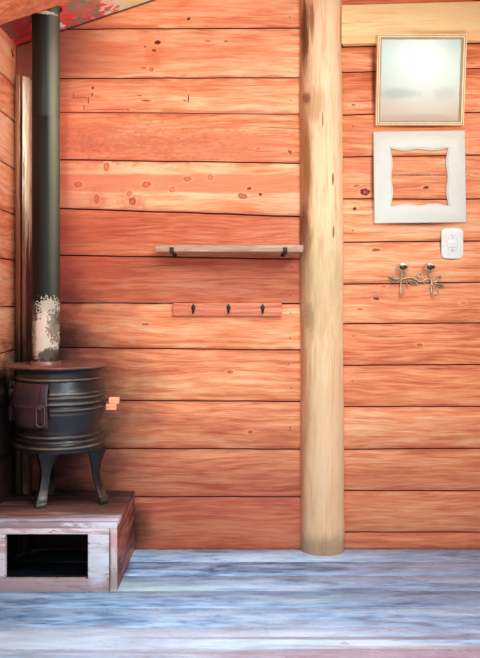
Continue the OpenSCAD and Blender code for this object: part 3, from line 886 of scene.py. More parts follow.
@dataclass(frozen=True)
class TimberFinish(Finish):
    """Boards and logs: rings, fibres, knots, tone from board to board, and marks."""

    pale: Colour
    main: Colour
    deep: Colour
    grain: Grain = Grain.X
    rings: float = 9.0
    flow: float = 9.0
    contrast: float = 1.0
    rough: float = 0.62
    relief: float = 0.0008
    knots: tuple[Knot, ...] = ()
    warm: Colour = (222, 112, 68)
    knot_colour: Colour = (96, 38, 24)
    halo_colour: Colour = (255, 200, 150)
    split_share: float = 0.45
    strays: float = 0.0
    groove: float = 0.0
    under: tuple[Mark, ...] = ()
    edges: float = 0.0

    def paint(self, sheet: Sheet) -> None:
        """Places the nodes.

        Args:
            sheet: Sheet of the material.
        """
        place = sheet.place(self.grain)
        seed = sheet.number("board_seed")
        core: object = 0.0
        halo: object = 0.0
        if self.knots:
            edge = place.noise(75.0, 3.0, 0.6) - 0.5
            for knot in self.knots:
                place, core, halo = sheet.group(
                    sheet.effects.knot, Vector=place, Core=core, Halo=halo, Place=knot.place,
                    Size=(knot.wide / 1000, 0.5, knot.high / 1000), Edge=edge, Depth=knot.depth,
                    Hollow=0.70 if min(knot.wide, knot.high) > 6 else 0.95,
                )
        elif self.strays:
            moved = place.vector("ADD", sheet.scaled((1.7, 2.9, 4.3), seed))
            core, halo = (sheet.specks(moved, (4.0, 7.0, 9.0), self.strays * size) for size in (1, 2))
        figure, fibre, drift, mottle, splits = sheet.group(
            sheet.effects.grain, Vector=place, Seed=seed, Rings=self.rings, Flow=self.flow
        )
        value = sheet.number("board_tone") * 0.26
        height = sheet.place(self.grain).noise((10.0, 55.0, 230.0), 2.0, 0.6)
        for part, share in ((drift, 0.32), (mottle, 0.28), (figure, 0.20), (fibre, 0.34), (height, 0.40)):
            value += (part - 0.5) * (share * self.contrast)
        value = value.math("ADD", 0.5, clamp=True)
        colour = sheet.ramp(value, (0.05, self.deep), (0.5, self.main), (0.95, self.pale))
        warm = place.noise((1.5, 5.0, 6.0), offset=(4.1, 2.2, 9.3)).span(0.45, 0.7, 0.0, 0.30)
        colour = sheet.marked(sheet.mix(warm, colour, self.warm), self.under)
        # Painted shade in the grooves that the piece marks
        if self.groove:
            colour = sheet.mix(sheet.number("groove") * self.groove, colour, self.knot_colour)
        # Painted shade along each board's upper and lower edges, beside the joints
        if self.edges:
            rise = sheet.number("board_rise")
            inside = rise.math("MINIMUM", sheet.number("board_height") - rise)
            worn = (inside + (mottle - 0.5) * 0.012).span(0.016, 0.001, 0.0, self.edges)
            colour = sheet.mix(worn, colour, self.deep)
        if isinstance(core, Wire):
            colour = sheet.mix(halo * 0.42, colour, self.halo_colour)
            heart = sheet.mix(core.span(0.40, 0.95), self.warm, self.knot_colour)
            colour = sheet.mix(core.span(0.0, 0.56), colour, heart)
        colour = sheet.mix(splits * self.split_share, colour, self.knot_colour)
        colour = sheet.shaded(sheet.marked(colour, self.marks), self.glooms)
        rough = fibre.span(0.0, 1.0, self.rough + 0.10, self.rough - 0.08)
        sheet.surface(colour, rough, height, self.relief, Specular_IOR_Level=0.35)


@dataclass(frozen=True)
class SteelFinish(Finish):
    """Stove steel, wrought iron and roof steel: tinted, specked and worn."""

    main: Colour
    tint: Colour
    worn: Colour
    metal: float = 0.75
    rough: float = 0.45
    wear: float = 0.2
    scale: float = 14.0
    relief: float = 0.0003
    specks: float = 0.12
    coat: float = 0.0
    shine: float = 0.5

    def paint(self, sheet: Sheet) -> None:
        """Places the nodes.

        Args:
            sheet: Sheet of the material.
        """
        place = sheet.place()
        colour = sheet.mix(sheet.patches(place, (self.scale,) * 3, 0.5, 0.35), self.main, self.tint)
        worn = sheet.patches(place, (self.scale * 3,) * 3, self.wear, 0.16)
        colour = sheet.mix(worn * 0.7, colour, self.worn)
        colour = sheet.mix(sheet.specks(place, (160.0,) * 3, self.specks) * 0.5, colour, self.worn)
        colour = sheet.shaded(sheet.marked(colour, self.marks), self.glooms)
        fine = place.noise(220.0, 3.0, 0.6)
        rough = fine.span(0.3, 0.7, self.rough - 0.07, self.rough + 0.07) + worn * 0.15
        sheet.surface(
            colour, rough, fine * 0.4 + worn * 0.6, self.relief, Metallic=self.metal, Coat_Roughness=0.25,
            Coat_Weight=self.coat, Specular_IOR_Level=self.shine,
        )


@dataclass(frozen=True)
class PaintFinish(Finish):
    """Old paint on wood or sheet: a top coat over an under coat over the bare stuff."""

    top: Colour
    under: Colour
    bare: Colour
    gone: float
    bare_share: float
    scale: Point
    rough: float
    relief: float = 0.0004
    fleck: Colour = (255, 255, 255)
    fleck_share: float = 0.0

    def paint(self, sheet: Sheet) -> None:
        """Places the nodes.

        Args:
            sheet: Sheet of the material.
        """
        place = sheet.place()
        first = sheet.patches(place, self.scale, self.gone, 0.07)
        second = sheet.patches(place, tuple(s * 1.9 for s in self.scale), self.bare_share, 0.06)
        brush = place.noise((30.0, 90.0, 90.0), 3.0, 0.6)
        colour = sheet.mix(brush.span(0.3, 0.7, 0.0, 0.16), self.top, (255, 255, 255))
        colour = sheet.mix(second, sheet.mix(first, colour, self.under), self.bare)
        if self.fleck_share:
            moved = place.stretch((1.0, 1.0, 1.0), (3.1, 7.7, 5.2))
            third = sheet.patches(moved, tuple(s * 1.4 for s in self.scale), self.fleck_share, 0.05)
            colour = sheet.mix(third, colour, self.fleck)
        lost = first.math("MAXIMUM", second)
        rough = brush.span(0.3, 0.7, self.rough - 0.05, self.rough + 0.05) + lost * 0.2
        sheet.surface(sheet.marked(colour, self.marks), rough, brush * 0.25 - lost, self.relief)


@dataclass(frozen=True)
class PrintFinish(Finish):
    """Pale print behind glass: soft bands of colour and nothing drawn."""

    top: Colour
    middle: Colour
    foot: Colour
    low: float
    high: float

    def paint(self, sheet: Sheet) -> None:
        """Places the nodes.

        Args:
            sheet: Sheet of the material.
        """
        place = sheet.place()
        height = sheet.add("SeparateXYZ", {0: place}, "Z")
        cloud = place.noise((7.0, 7.0, 10.0), 4.0)
        where = height.span(self.low, self.high).math("ADD", (cloud - 0.5) * 0.5, clamp=True)
        colour = sheet.ramp(where, (0.05, self.foot), (0.4, self.middle), (0.75, self.top))
        sheet.surface(
            sheet.marked(colour, self.marks), 0.6, place.noise(900.0), 0.00005, Coat_Weight=0.6,
            Coat_Roughness=0.30, Coat_IOR=1.5,
        )


@dataclass(frozen=True)
class PlasticFinish(Finish):
    """Moulded plastic with a little dust."""

    main: Colour
    dust: Colour

    def paint(self, sheet: Sheet) -> None:
        """Places the nodes.

        Args:
            sheet: Sheet of the material.
        """
        place = sheet.place()
        haze = place.noise(30.0, 4.0)
        colour = sheet.mix(haze.span(0.45, 0.75, 0.0, 0.5), self.main, self.dust)
        rough = haze.span(0.3, 0.7, 0.25, 0.42)
        sheet.surface(sheet.marked(colour, self.marks), rough, place.noise(1500.0, 1.0), 0.00003)


@dataclass(frozen=True)
class FloorFinish(Finish):
    """The plain pale floor of the studio."""

    def paint(self, sheet: Sheet) -> None:
        """Places the nodes.

        Args:
            sheet: Sheet of the material.
        """
        soft = sheet.place().noise(3.0)
        sheet.surface(sheet.ramp(soft, (0.3, (0.80, 0.80, 0.80, 1.0)), (0.7, (0.83, 0.83, 0.82, 1.0))), 0.9)


WALL_KNOTS = tuple(
    Knot((on_wall(px, py)[0], WALL_Y, on_wall(px, py)[1]), *size)
    for px, py, *size in (
        (157.4, 42.4, 10, 6, 1.0), (154.0, 50.5, 8, 4, 0.8), (145.0, 46.5, 5, 4, 0.6), (144.0, 68.0, 10, 4, 0.5),
        (151.5, 69.0, 7, 7, 0.6), (92.8, 88.0, 4, 5, 1.0), (92.2, 94.5, 3.5, 4, 0.9), (80.0, 97.8, 30, 1.8, 0.9),
        (73.4, 96.0, 2.2, 8, 0.9), (88.4, 100.0, 2.4, 11, 0.9), (84.0, 107.5, 1.8, 11, 0.8),
        (106.0, 109.8, 80, 1.2, 0.8), (128.0, 110.0, 1.6, 6, 0.8), (146.0, 100.5, 17, 3.0, 0.7),
        (139.5, 95.5, 8, 2.0, 0.6), (188.4, 98.0, 2.0, 15, 0.95), (184.6, 100.4, 5, 2.0, 0.8),
        (78.4, 184.6, 14, 9, 0.62), (146.4, 184.6, 15, 9, 0.62), (187.4, 179.0, 12, 9, 0.62),
        (172.0, 189.5, 9, 10, 0.5), (210.1, 177.4, 9, 10, 0.5), (96.6, 199.0, 8, 15, 0.62),
        (132.4, 201.5, 11, 12, 0.75), (129.5, 194.5, 9, 12, 0.5), (242.4, 196.0, 15, 9, 0.70),
        (249.1, 188.5, 8, 5, 0.8), (106.8, 166.6, 9, 15, 0.52), (260.5, 194.1, 5, 5, 0.95),
        (188.5, 19.0, 6, 5, 0.95), (68.5, 141.0, 5, 3, 0.7), (178.0, 138.5, 5, 4, 0.5), (258.0, 148.5, 9, 3, 0.5),
        (290.0, 152.0, 7, 5, 0.7), (208.0, 41.0, 9, 4, 0.45), (226.0, 41.5, 7, 4, 0.5), (145.5, 324.0, 12, 4, 0.6),
        (365.2, 192.0, 15, 11, 1.0), (357.0, 186.0, 12, 4, 0.6), (353.3, 104.8, 7, 4, 0.6),
        (354.7, 209.0, 6, 5, 0.95), (425.8, 187.5, 9, 4, 1.0), (420.0, 175.0, 140, 1.7, 0.95),
        (376.2, 250.0, 14, 5, 0.7), (376.2, 298.5, 10, 5, 1.0), (384.0, 286.5, 10, 4, 0.5),
        (360.0, 309.0, 10, 4, 0.5), (463.0, 303.0, 10, 5, 0.4), (358.0, 74.5, 6, 4, 0.6),
        (230.0, 372.0, 11, 6, 0.6), (420.0, 345.0, 10, 5, 0.6), (250.0, 432.0, 10, 6, 0.6),
    )
)

# The darker wood inside the end wall's boards, which lies under the knots
HEARTWOOD = (
    Mark((-0.60, 0.40, 1.5526), (3.0, 0.4, 0.036), (238, 136, 92), 0.80, 0.9, (3, 9, 14), 0.14),
    Mark((-0.50, 0.40, 1.690), (0.44, 0.4, 0.052), (232, 132, 88), 0.60, 1.3, (5, 9, 20), 0.30),
    Mark((-0.42, 0.40, 1.36), (1.2, 0.4, 0.085), (228, 202, 200), 0.95, 1.0, (3, 9, 14), 0.35, Blend.STAIN),
    Mark((-0.38, 0.40, 1.18), (1.3, 0.4, 0.092), (208, 180, 184), 0.95, 0.7, (3, 9, 14), 0.20, Blend.STAIN),
    Mark((-0.95, 0.40, 1.70), (0.16, 0.4, 0.09), (214, 112, 72), 0.50, 1.4, (12, 9, 20), 0.5),
    Mark((-0.90, 0.40, 2.05), (0.30, 0.4, 0.10), (226, 128, 84), 0.40, 1.4, (6, 9, 14), 0.6),
    Mark((-0.84, 0.40, 1.715), (0.26, 0.4, 0.052), (184, 100, 62), 0.28, 9.0, (42, 9, 90), 0.45),
    Mark((-0.62, 0.40, 1.700), (0.26, 0.4, 0.045), (196, 108, 68), 0.20, 9.0, (42, 9, 90), 0.45),
    Mark((-0.93, 0.40, 1.700), (0.05, 0.4, 0.030), (150, 84, 58), 0.45, 8.0, (60, 9, 90), 0.35),
    Mark((-0.872, 0.40, 1.486), (0.026, 0.4, 0.034), (216, 116, 76), 0.55, 3.0, (60, 9, 60), 0.90),
    Mark((-0.728, 0.40, 1.476), (0.040, 0.4, 0.030), (206, 106, 68), 0.60, 3.0, (60, 9, 60), 0.90),
    Mark((-0.655, 0.40, 2.10), (0.045, 0.4, 0.060), (224, 118, 70), 0.35, 3.0, (40, 9, 30), 0.70),
    Mark((-0.648, 0.40, 2.030), (0.024, 0.4, 0.026), (206, 104, 62), 0.30, 3.0, (60, 9, 40), 0.60),
)

# Painted shade on the end wall's boards, with soot and heat tint by the stove: by the left corner, in the corner under
# the ceiling, beside and below the flue, behind the stove, near the floor and inside the hearth
WALL_SHADE_AND_SOOT = (
    Mark((-1.16, 0.40, 1.55), (0.34, 0.4, 1.5), (196, 80, 58), 0.58, 0.9, (5, 9, 22), 0.7),
    Mark((-1.12, 0.40, 2.12), (0.22, 0.4, 0.22), (104, 46, 44), 0.75, 0.9, (6, 9, 16), 0.6),
    Mark((-1.040, 0.38, 1.16), (0.110, 0.04, 0.42), (116, 42, 44), 0.62, 0.9, (9, 9, 16), 0.6),
    Mark((-0.990, 0.38, 0.95), (0.080, 0.04, 0.13), (70, 26, 32), 0.70, 0.9, (9, 9, 16), 0.6),
    Mark((-0.35, 0.40, 0.30), (1.6, 0.4, 0.30), (140, 62, 58), 0.45, 1.0, (4, 9, 18), 0.7),
    Mark((-1.05, 0.38, 0.63), (0.35, 0.04, 0.47), SOOT_AND_SHADE, 0.95, 0.8, (9, 9, 16), 0.55),
    Mark((-0.95, 0.38, 0.20), (0.318, 0.04, 0.20), DEEP_SHADE, 0.97, 0.2, (9, 9, 16), 0.18),
)

# The bark streaks, stains and weathering of the ridge post; the first mark darkens its left side, partly bark and
# partly painted shade
LOG_MARKS = (
    Mark((-0.110, 0.37, 1.35), (0.062, 0.12, 1.6), (170, 108, 62), 0.80, 1.5, (24, 24, 4), 0.45),
    Mark((-0.030, 0.32, 1.84), (0.036, 0.06, 0.060), (204, 152, 100), 0.55, 1.4, (40, 40, 12), 0.5),
    Mark((-0.066, 0.33, 2.12), (0.015, 0.06, 0.13), (90, 46, 22), 0.90, 1.7, (70, 70, 9), 0.4),
    Mark((-0.040, 0.32, 2.17), (0.008, 0.06, 0.07), (140, 86, 46), 0.75, 1.7, (90, 90, 9), 0.4),
    Mark((-0.073, 0.34, 1.36), (0.030, 0.08, 0.09), (112, 56, 36), 0.85, 1.2, (40, 40, 12), 0.5),
    Mark((-0.062, 0.33, 1.871), (0.016, 0.05, 0.020), (112, 62, 34), 0.70, 1.6, (60, 60, 30), 0.5),
    Mark((-0.058, 0.33, 1.60), (0.012, 0.06, 0.16), (150, 92, 52), 0.60, 1.6, (70, 70, 8), 0.5),
    Mark((0.0, 0.317, 1.783), (0.003, 0.04, 0.028), (176, 120, 76), 0.85, 0.4, (60, 60, 30), 0.3),
    Mark((0.040, 0.33, 1.557), (0.004, 0.04, 0.024), (120, 66, 40), 0.85, 0.4, (60, 60, 30), 0.3),
    Mark((0.042, 0.33, 1.355), (0.004, 0.04, 0.022), (120, 66, 40), 0.85, 0.4, (60, 60, 30), 0.3),
    Mark((-0.010, 0.33, 1.15), (0.10, 0.12, 0.20), (196, 170, 128), 0.50, 1.8, (34, 34, 12), 0.6),
    Mark((-0.050, 0.33, 1.03), (0.020, 0.06, 0.05), (140, 112, 82), 0.60, 2.0, (90, 90, 60), 0.5),
    Mark((0.000, 0.33, 0.45), (0.20, 0.20, 0.62), (206, 150, 110), 0.50, 1.2, (20, 20, 5), 0.6),
    Mark((0.000, 0.33, 0.13), (0.20, 0.20, 0.06), (120, 84, 66), 0.60, 1.0, (30, 30, 20), 0.6),
)


def wall_finish(side: int, under: tuple[Mark, ...], marks: tuple[Mark, ...]) -> TimberFinish:
    """Gives the stain of the end wall's boards with one bay's own knots and marks.

    Args:
        side: -1 for the left bay, 1 for the right one.
        under: Marks under the knots.
        marks: Marks over them.

    Returns:
        The finish.
    """
    return TimberFinish(
        (255, 216, 168), (246, 158, 106), (196, 90, 54), knots=tuple(k for k in WALL_KNOTS if side * k.place[0] > 0),
        under=under, marks=marks, relief=0.0010, rough=0.52, edges=0.55, contrast=0.90, flow=5.5, split_share=0.6,
        glooms=(
            Gloom((0, 1, 0), WALL_Y + 0.0016, WALL_Y + 0.0050, stop=WALL_Y + OUTSIDE),
            Gloom((-math.sin(SLOPE), 0, math.cos(SLOPE)), ROOF_LINE - 0.011, ROOF_LINE - 0.003),
            Gloom((math.sin(SLOPE), 0, math.cos(SLOPE)), ROOF_LINE - 0.011, ROOF_LINE - 0.003),
            Gloom((0, 1, 0), WALL_Y + OUTSIDE - FADE, WALL_Y + OUTSIDE, WEATHERED, 0.50),
        ),
    )


# Streak of small marks, whose edge is even
SPOT = (40.0, 40.0, 40.0)
FINISHES: dict[str, Finish] = {
    "wall_timber": wall_finish(-1, HEARTWOOD, WALL_SHADE_AND_SOOT),
    "wall_timber_right": wall_finish(
        1, (),
        # Painted shadows along the left and lower edges of the picture frame, the white frame and the switch plate
        tuple(
            Mark((x, 0.39, z), (wide, 0.03, high), (112, 48, 32), 0.85, 0.2, (9, 9, 9), 0.6)
            for x, z, wide, high in (
                (0.2085, 1.950, 0.0080, 0.122), (0.378, 1.7765, 0.120, 0.0085), (0.2025, 1.575, 0.0070, 0.120),
                (0.382, 1.3930, 0.125, 0.0085), (0.4695, 1.318, 0.0050, 0.036), (0.5100, 1.2580, 0.024, 0.0050),
            )
        ) + (
            # Painted shade near the floor
            Mark((0.35, 0.40, 0.30), (1.6, 0.4, 0.30), (140, 62, 58), 0.35, 1.0, (4, 9, 18), 0.7),
            Mark((0.222, 0.40, 1.120), (0.040, 0.4, 0.014), (176, 86, 60), 0.45, 3.0, (60, 9, 60), 0.9),
        ),
    ),
    "side_timber": TimberFinish(
        (255, 216, 176), (255, 170, 126), (214, 102, 72), grain=Grain.Y, strays=0.10,
        edges=0.55, glooms=(
            Gloom((-1, 0, 0), HALF_W + 0.0016, HALF_W + 0.0050, stop=HALF_W + OUTSIDE),
            Gloom((1, 0, 0), HALF_W + 0.0016, HALF_W + 0.0050, stop=HALF_W + OUTSIDE),
            Gloom((-1, 0, 0), HALF_W + OUTSIDE - FADE, HALF_W + OUTSIDE, WEATHERED, 0.50),
            Gloom((1, 0, 0), HALF_W + OUTSIDE - FADE, HALF_W + OUTSIDE, WEATHERED, 0.50),
        ),
        marks=(
            # Painted shade behind the stove with soot, then painted deep shade inside the hearth
            Mark((-1.166, 0.26, 0.45), (0.04, 0.58, 0.51), (16, 15, 22), 0.98, 0.7, (9, 9, 14), 0.24),
            Mark((-1.166, 0.18, 0.22), (0.04, 0.35, 0.15), DEEP_SHADE, 0.96, 0.2, (9, 9, 14), 0.2),
        ),
    ),
    "ceiling_timber": TimberFinish(
        (255, 196, 150), (234, 146, 104), (184, 90, 64), strays=0.10,
    ),
    "rafter_timber": TimberFinish(
        (240, 192, 150), (220, 156, 114), (164, 100, 70), grain=Grain.Y, strays=0.08,
    ),
    "sill_timber": TimberFinish(
        (196, 150, 122), (164, 112, 88), (110, 68, 52), grain=Grain.Y, strays=0.10,
        rough=0.75, warm=(150, 96, 72),
    ),
    "washed_floor": TimberFinish(
        (204, 230, 250), (146, 190, 228), (76, 98, 132), rings=11, flow=6,
        rough=0.30, relief=0.0006, contrast=1.25, knot_colour=(84, 80, 92), halo_colour=(170, 188, 215),
        strays=0.08, warm=(190, 196, 212), split_share=0.6,
        marks=(
            # Painted shade over the right part of the floor
            Mark((0.62, 0.20, 0.125), (0.65, 0.32, 0.2), (100, 92, 104), 0.45, 1.4, (2, 30, 9), 0.7),
            Mark((0.25, -0.30, 0.125), (0.50, 0.06, 0.2), (130, 116, 124), 0.35, 1.6, (2, 40, 9), 0.6),
            Mark((-0.60, -0.42, 0.125), (0.90, 0.10, 0.2), (240, 248, 255), 0.50, 1.2, (3, 30, 9), 0.6),
            Mark((-0.62, 0.0, 0.125), (0.30, 0.06, 0.2), (168, 200, 186), 0.40, 1.2, (6, 30, 9), 0.6),
            Mark((0.30, -0.50, 0.125), (0.75, 0.050, 0.2), (176, 122, 120), 0.62, 2.6, (2, 60, 9), 0.4),
            Mark((0.15, -0.40, 0.125), (0.60, 0.012, 0.2), (110, 80, 90), 0.55, 2.0, (2, 60, 9), 0.4),
            # Painted shade over the right part of the floor
            Mark((0.45, -0.10, 0.125), (0.80, 0.10, 0.2), (90, 96, 112), 0.45, 1.4, (2, 30, 9), 0.6),
            # Painted deep shade inside the hearth box
            Mark((-0.957, 0.19, 0.125), (0.24, 0.235, 0.1), DEEP_SHADE, 0.96, 0.1, (9, 9, 9), 0.1),
        ),
    ),
    "peeled_log": TimberFinish(
        (255, 242, 206), (254, 226, 178), (220, 170, 116), grain=Grain.Z, rings=5,
        flow=4, rough=0.52, relief=0.0012, contrast=0.9, marks=LOG_MARKS, warm=(238, 190, 136),
        knot_colour=(140, 88, 52), split_share=0.55,
    ),
    "split_log": TimberFinish(
        (255, 240, 206), (250, 208, 164), (150, 92, 60), grain=Grain.Z, rings=7,
        flow=5, rough=0.7, relief=0.0016, warm=(214, 140, 94), contrast=1.5, split_share=0.8,
        marks=(
            # Painted shade down the slab's left part
            Mark((-1.175, 0.36, 1.60), (0.022, 0.15, 0.80), (126, 62, 44), 0.85, 1.2, (60, 60, 6), 0.3),
            Mark((-1.128, 0.36, 1.64), (0.019, 0.15, 0.58), (255, 252, 222), 0.96, 2.4, (70, 70, 12), 0.16),
            Mark((-1.137, 0.36, 1.18), (0.012, 0.15, 0.22), (206, 158, 106), 0.75, 2.0, (90, 90, 8), 0.3),
            Mark((-1.118, 0.36, 1.66), (0.005, 0.15, 0.30), (150, 100, 66), 0.70, 3.0, (110, 110, 9), 0.2),
            Mark((-1.140, 0.36, 1.45), (0.003, 0.15, 0.26), (120, 74, 46), 0.75, 3.0, (110, 110, 9), 0.2),
            Mark((-1.152, 0.36, 1.50), (0.004, 0.15, 0.60), (70, 34, 24), 0.90, 1.4, (60, 60, 8), 0.3),
            Mark((-1.15, 0.36, 1.00), (0.12, 0.15, 0.36), (136, 82, 60), 0.80, 1.6, (40, 40, 6), 0.35),
            Mark((-1.127, 0.36, 1.12), (0.005, 0.15, 0.26), (60, 30, 26), 0.80, 2.4, (90, 90, 8), 0.3),
            # Painted shade behind the stove with soot, then painted deep shade inside the hearth
            Mark((-1.15, 0.36, 0.62), (0.15, 0.20, 0.36), SOOT_AND_SHADE, 0.95, 0.7, (20, 20, 8), 0.4),
            Mark((-1.15, 0.36, 0.22), (0.15, 0.20, 0.15), DEEP_SHADE, 0.96, 0.2, (20, 20, 8), 0.3),
        ),
    ),
    "sawn_beam": TimberFinish(
        (255, 246, 198), (255, 234, 174), (250, 200, 138), rings=7, flow=5,
        contrast=0.8, rough=0.45, relief=0.0006, warm=(255, 226, 164), knot_colour=(150, 84, 40),
        strays=0.07, halo_colour=(240, 180, 112), glooms=(
            # Painted shade on the lower band and underside, a painted shadow line along the wall, the weathered
            # outside, and a painted shadow line at the left end by the post
            Gloom((0.0285, 0, -0.9996), -2.1150, -2.1095, (248, 186, 122), 0.55),
            Gloom((0, 1, 0), WALL_Y - 0.015, WALL_Y - 0.007, (84, 40, 26), 0.92),
            Gloom((0, 1, 0), WALL_Y + 0.038, WALL_Y + 0.042, (214, 164, 118), 0.90),
            Gloom((-1, 0, 0), -0.0745, -0.0725, (96, 50, 32), 0.80),
        ),
    ),
    "painted_sheet": PaintFinish(
        (255, 22, 48), (140, 150, 116), (120, 22, 46), gone=0.42, bare_share=0.26,
        scale=(12, 11, 12), rough=0.45, fleck=(255, 246, 222), fleck_share=0.26,
        marks=(
            Mark((-0.70, 0.30, 2.23), (0.13, 0.2, 0.05), (255, 250, 222), 0.95, 2.6, (22, 60, 60), 0.12),
            Mark((-0.72, 0.30, 2.245), (0.05, 0.2, 0.03), (232, 240, 130), 0.45, 3.2, (30, 60, 60), 0.2),
            Mark((-0.88, 0.18, 2.16), (0.07, 0.2, 0.05), (150, 152, 122), 0.70, 2.2, (30, 40, 40), 0.2),
            Mark((-1.12, 0.20, 2.08), (0.10, 0.2, 0.06), (84, 26, 44), 0.75, 1.8, (34, 34, 34), 0.4),
        ),
    ),
    "roof_steel": SteelFinish(
        (176, 180, 182), (150, 156, 160), (128, 104, 88), metal=0.55, rough=0.5,
        wear=0.12, scale=9,
    ),
    "hearth_top_wood": TimberFinish(
        (150, 104, 92), (88, 56, 54), (40, 26, 30), rings=10, flow=5, rough=0.42,
        relief=0.0012, contrast=1.2, warm=(110, 64, 50), split_share=0.6,
        marks=(
            Mark((-0.96, -0.045, 0.35), (0.60, 0.11, 0.1), (168, 140, 150), 0.75, 1.6, (6, 44, 30), 0.35),
            Mark((-0.86, -0.045, 0.35), (0.52, 0.090, 0.1), (230, 226, 240), 0.88, 2.8, (9, 110, 60), 0.12),
            Mark((-0.99, -0.055, 0.35), (0.16, 0.030, 0.1), (120, 66, 74), 0.65, 3.0, (24, 90, 60), 0.3),
            Mark((-0.86, -0.030, 0.35), (0.24, 0.004, 0.1), (60, 36, 44), 0.80, 1.6, (9, 60, 60), 0.3),
            Mark((-0.84, 0.020, 0.35), (0.18, 0.003, 0.1), (60, 36, 44), 0.75, 1.6, (9, 60, 60), 0.3),
            Mark((-1.04, 0.05, 0.355), (0.12, 0.05, 0.1), (168, 104, 80), 0.60, 2.2, (9, 60, 60), 0.35),
            Mark((-0.96, 0.10, 0.355), (0.30, 0.10, 0.1), (150, 104, 84), 0.45, 1.4, (6, 30, 30), 0.6),
            Mark((-1.00, 0.34, 0.355), (0.30, 0.14, 0.1), (20, 15, 20), 0.75, 0.8, SPOT, 0.6),
        ),
    ),
    "worn_paint": PaintFinish(
        (226, 214, 218), (204, 172, 168), (150, 104, 98), gone=0.42, bare_share=0.26,
        scale=(8, 14, 60), rough=0.6,
        marks=(
            Mark((-0.96, -0.05, 0.145), (0.50, 0.1, 0.03), (152, 118, 118), 0.75, 1.2, (8, 14, 60), 0.4),
            Mark((-0.79, -0.05, 0.23), (0.035, 0.1, 0.08), (216, 222, 230), 0.70, 0.9, (20, 14, 30), 0.4),
        ),
    ),
    "knotty_wood": TimberFinish(
        (196, 118, 94), (122, 62, 54), (52, 26, 30), grain=Grain.Y, rings=10, flow=7,
        strays=0.16, rough=0.45, relief=0.0010, knot_colour=(34, 18, 22), halo_colour=(150, 90, 72),
        warm=(130, 68, 56), contrast=1.4, split_share=0.8,
        marks=(
            # Painted deep shade on the inner face of the left panel
            Mark((-1.160, 0.19, 0.20), (0.010, 0.235, 0.13), DEEP_SHADE, 0.97, 0.1, (9, 9, 9), 0.3),
            Mark((-0.737, -0.0485, 0.23), (0.40, 0.008, 0.20), (220, 202, 196), 0.88, 0.9, (30, 30, 30), 0.35),
            Mark((-0.737, -0.0490, 0.30), (0.40, 0.006, 0.030), (206, 130, 136), 0.55, 3.2, (60, 60, 60), 0.3),
            Mark((-0.737, -0.0490, 0.17), (0.40, 0.006, 0.040), (150, 120, 112), 0.55, 3.2, (90, 60, 60), 0.3),
            # Painted deep shade on the inner face of the right panel
            Mark((-0.756, 0.19, 0.23), (0.014, 0.40, 0.20), DEEP_SHADE, 0.95, 0.1, (9, 9, 9), 0.3),
        ),
    ),
    "cast_black": SteelFinish(
        (17, 26, 33), (10, 15, 21), (66, 62, 58), metal=0.3, rough=0.38, wear=0.10,
        scale=16, relief=0.00015, coat=0.2, marks=(
            # Painted highlight across the legs' feet
            Mark((-0.97, 0.15, 0.385), (0.30, 0.30, 0.030), (120, 108, 84), 0.30, 2.4, (50, 50, 50), 0.4),
        ),
    ),
    "rim_steel": SteelFinish(
        (43, 46, 50), (36, 30, 37), (88, 76, 70), metal=0.45, rough=0.38, wear=0.06,
        scale=6, coat=0.2, relief=0.00006, specks=0.05, marks=(
            Mark((-1.10, 0.05, 0.70), (0.09, 0.16, 0.16), (62, 40, 50), 0.55, 0.8, (12, 12, 12), 0.6),
        ) + tuple(
            # Painted highlight lines along the ridges
            Mark((x, 0.04, z), (reach, 0.16, 0.0032), (156, 144, 124), 0.48, 2.6, (16, 16, 130), 0.6)
            for x, z, reach in (
                (-0.95, 0.818, 0.15), (-0.90, 0.770, 0.10), (-0.88, 0.757, 0.13), (-0.91, 0.736, 0.12),
                (-0.87, 0.714, 0.09), (-0.93, 0.617, 0.16), (-0.88, 0.600, 0.12), (-0.90, 0.585, 0.15),
            )
        ) + tuple(
            # Painted shade lines between the ridges
            Mark((-0.93, 0.04, z), (0.20, 0.16, 0.0040), (14, 12, 16), 0.70, 0.8, (14, 14, 90), 0.5)
            for z in (0.809, 0.7635, 0.7465, 0.725, 0.7045, 0.6085, 0.5925)
        ),
    ),
    "plate_steel": SteelFinish(
        (174, 124, 108), (132, 84, 74), (210, 160, 140), metal=0.4, rough=0.42,
        wear=0.2, scale=12,
    ),
    "door_steel": SteelFinish(
        (82, 56, 68), (50, 38, 50), (112, 86, 88), metal=0.35, rough=0.34, wear=0.06,
        scale=6, coat=0.3, relief=0.00006, specks=0.05, marks=(
            # Painted highlight along the door's free edge
            Mark((-0.9716, 0.03, 0.735), (0.0022, 0.10, 0.095), (168, 164, 180), 0.70, 1.2, (60, 60, 40), 0.4),
            Mark((-1.08, 0.05, 0.725), (0.10, 0.16, 0.0016), (150, 120, 122), 0.55, 1.2, (30, 60, 60), 0.4),
            Mark((-1.05, 0.05, 0.68), (0.06, 0.16, 0.05), (112, 76, 84), 0.45, 1.2, (14, 30, 14), 0.6),
        ),
    ),
    "forged_iron": SteelFinish(
        (34, 32, 34), (22, 20, 22), (104, 84, 76), metal=0.5, rough=0.45, wear=0.12,
        scale=30, marks=(
            Mark((-0.995, 0.03, 0.695), (0.055, 0.035, 0.065), (112, 92, 90), 0.55, 1.8, (60, 60, 60), 0.3),
            # Painted deep shade on the hinge by the left wall
            Mark((-1.165, 0.19, 0.715), (0.060, 0.10, 0.14), DEEP_SHADE, 0.90, 0.2, (60, 60, 60), 0.3),
        ),
    ),
    "flue_steel": SteelFinish(
        (32, 35, 30), (27, 31, 27), (46, 45, 39), metal=0.05, rough=0.60, wear=0.04,
        scale=5, specks=0.04, relief=0.00004, shine=0.28,
        marks=(
            # Painted shade down the flue's left side
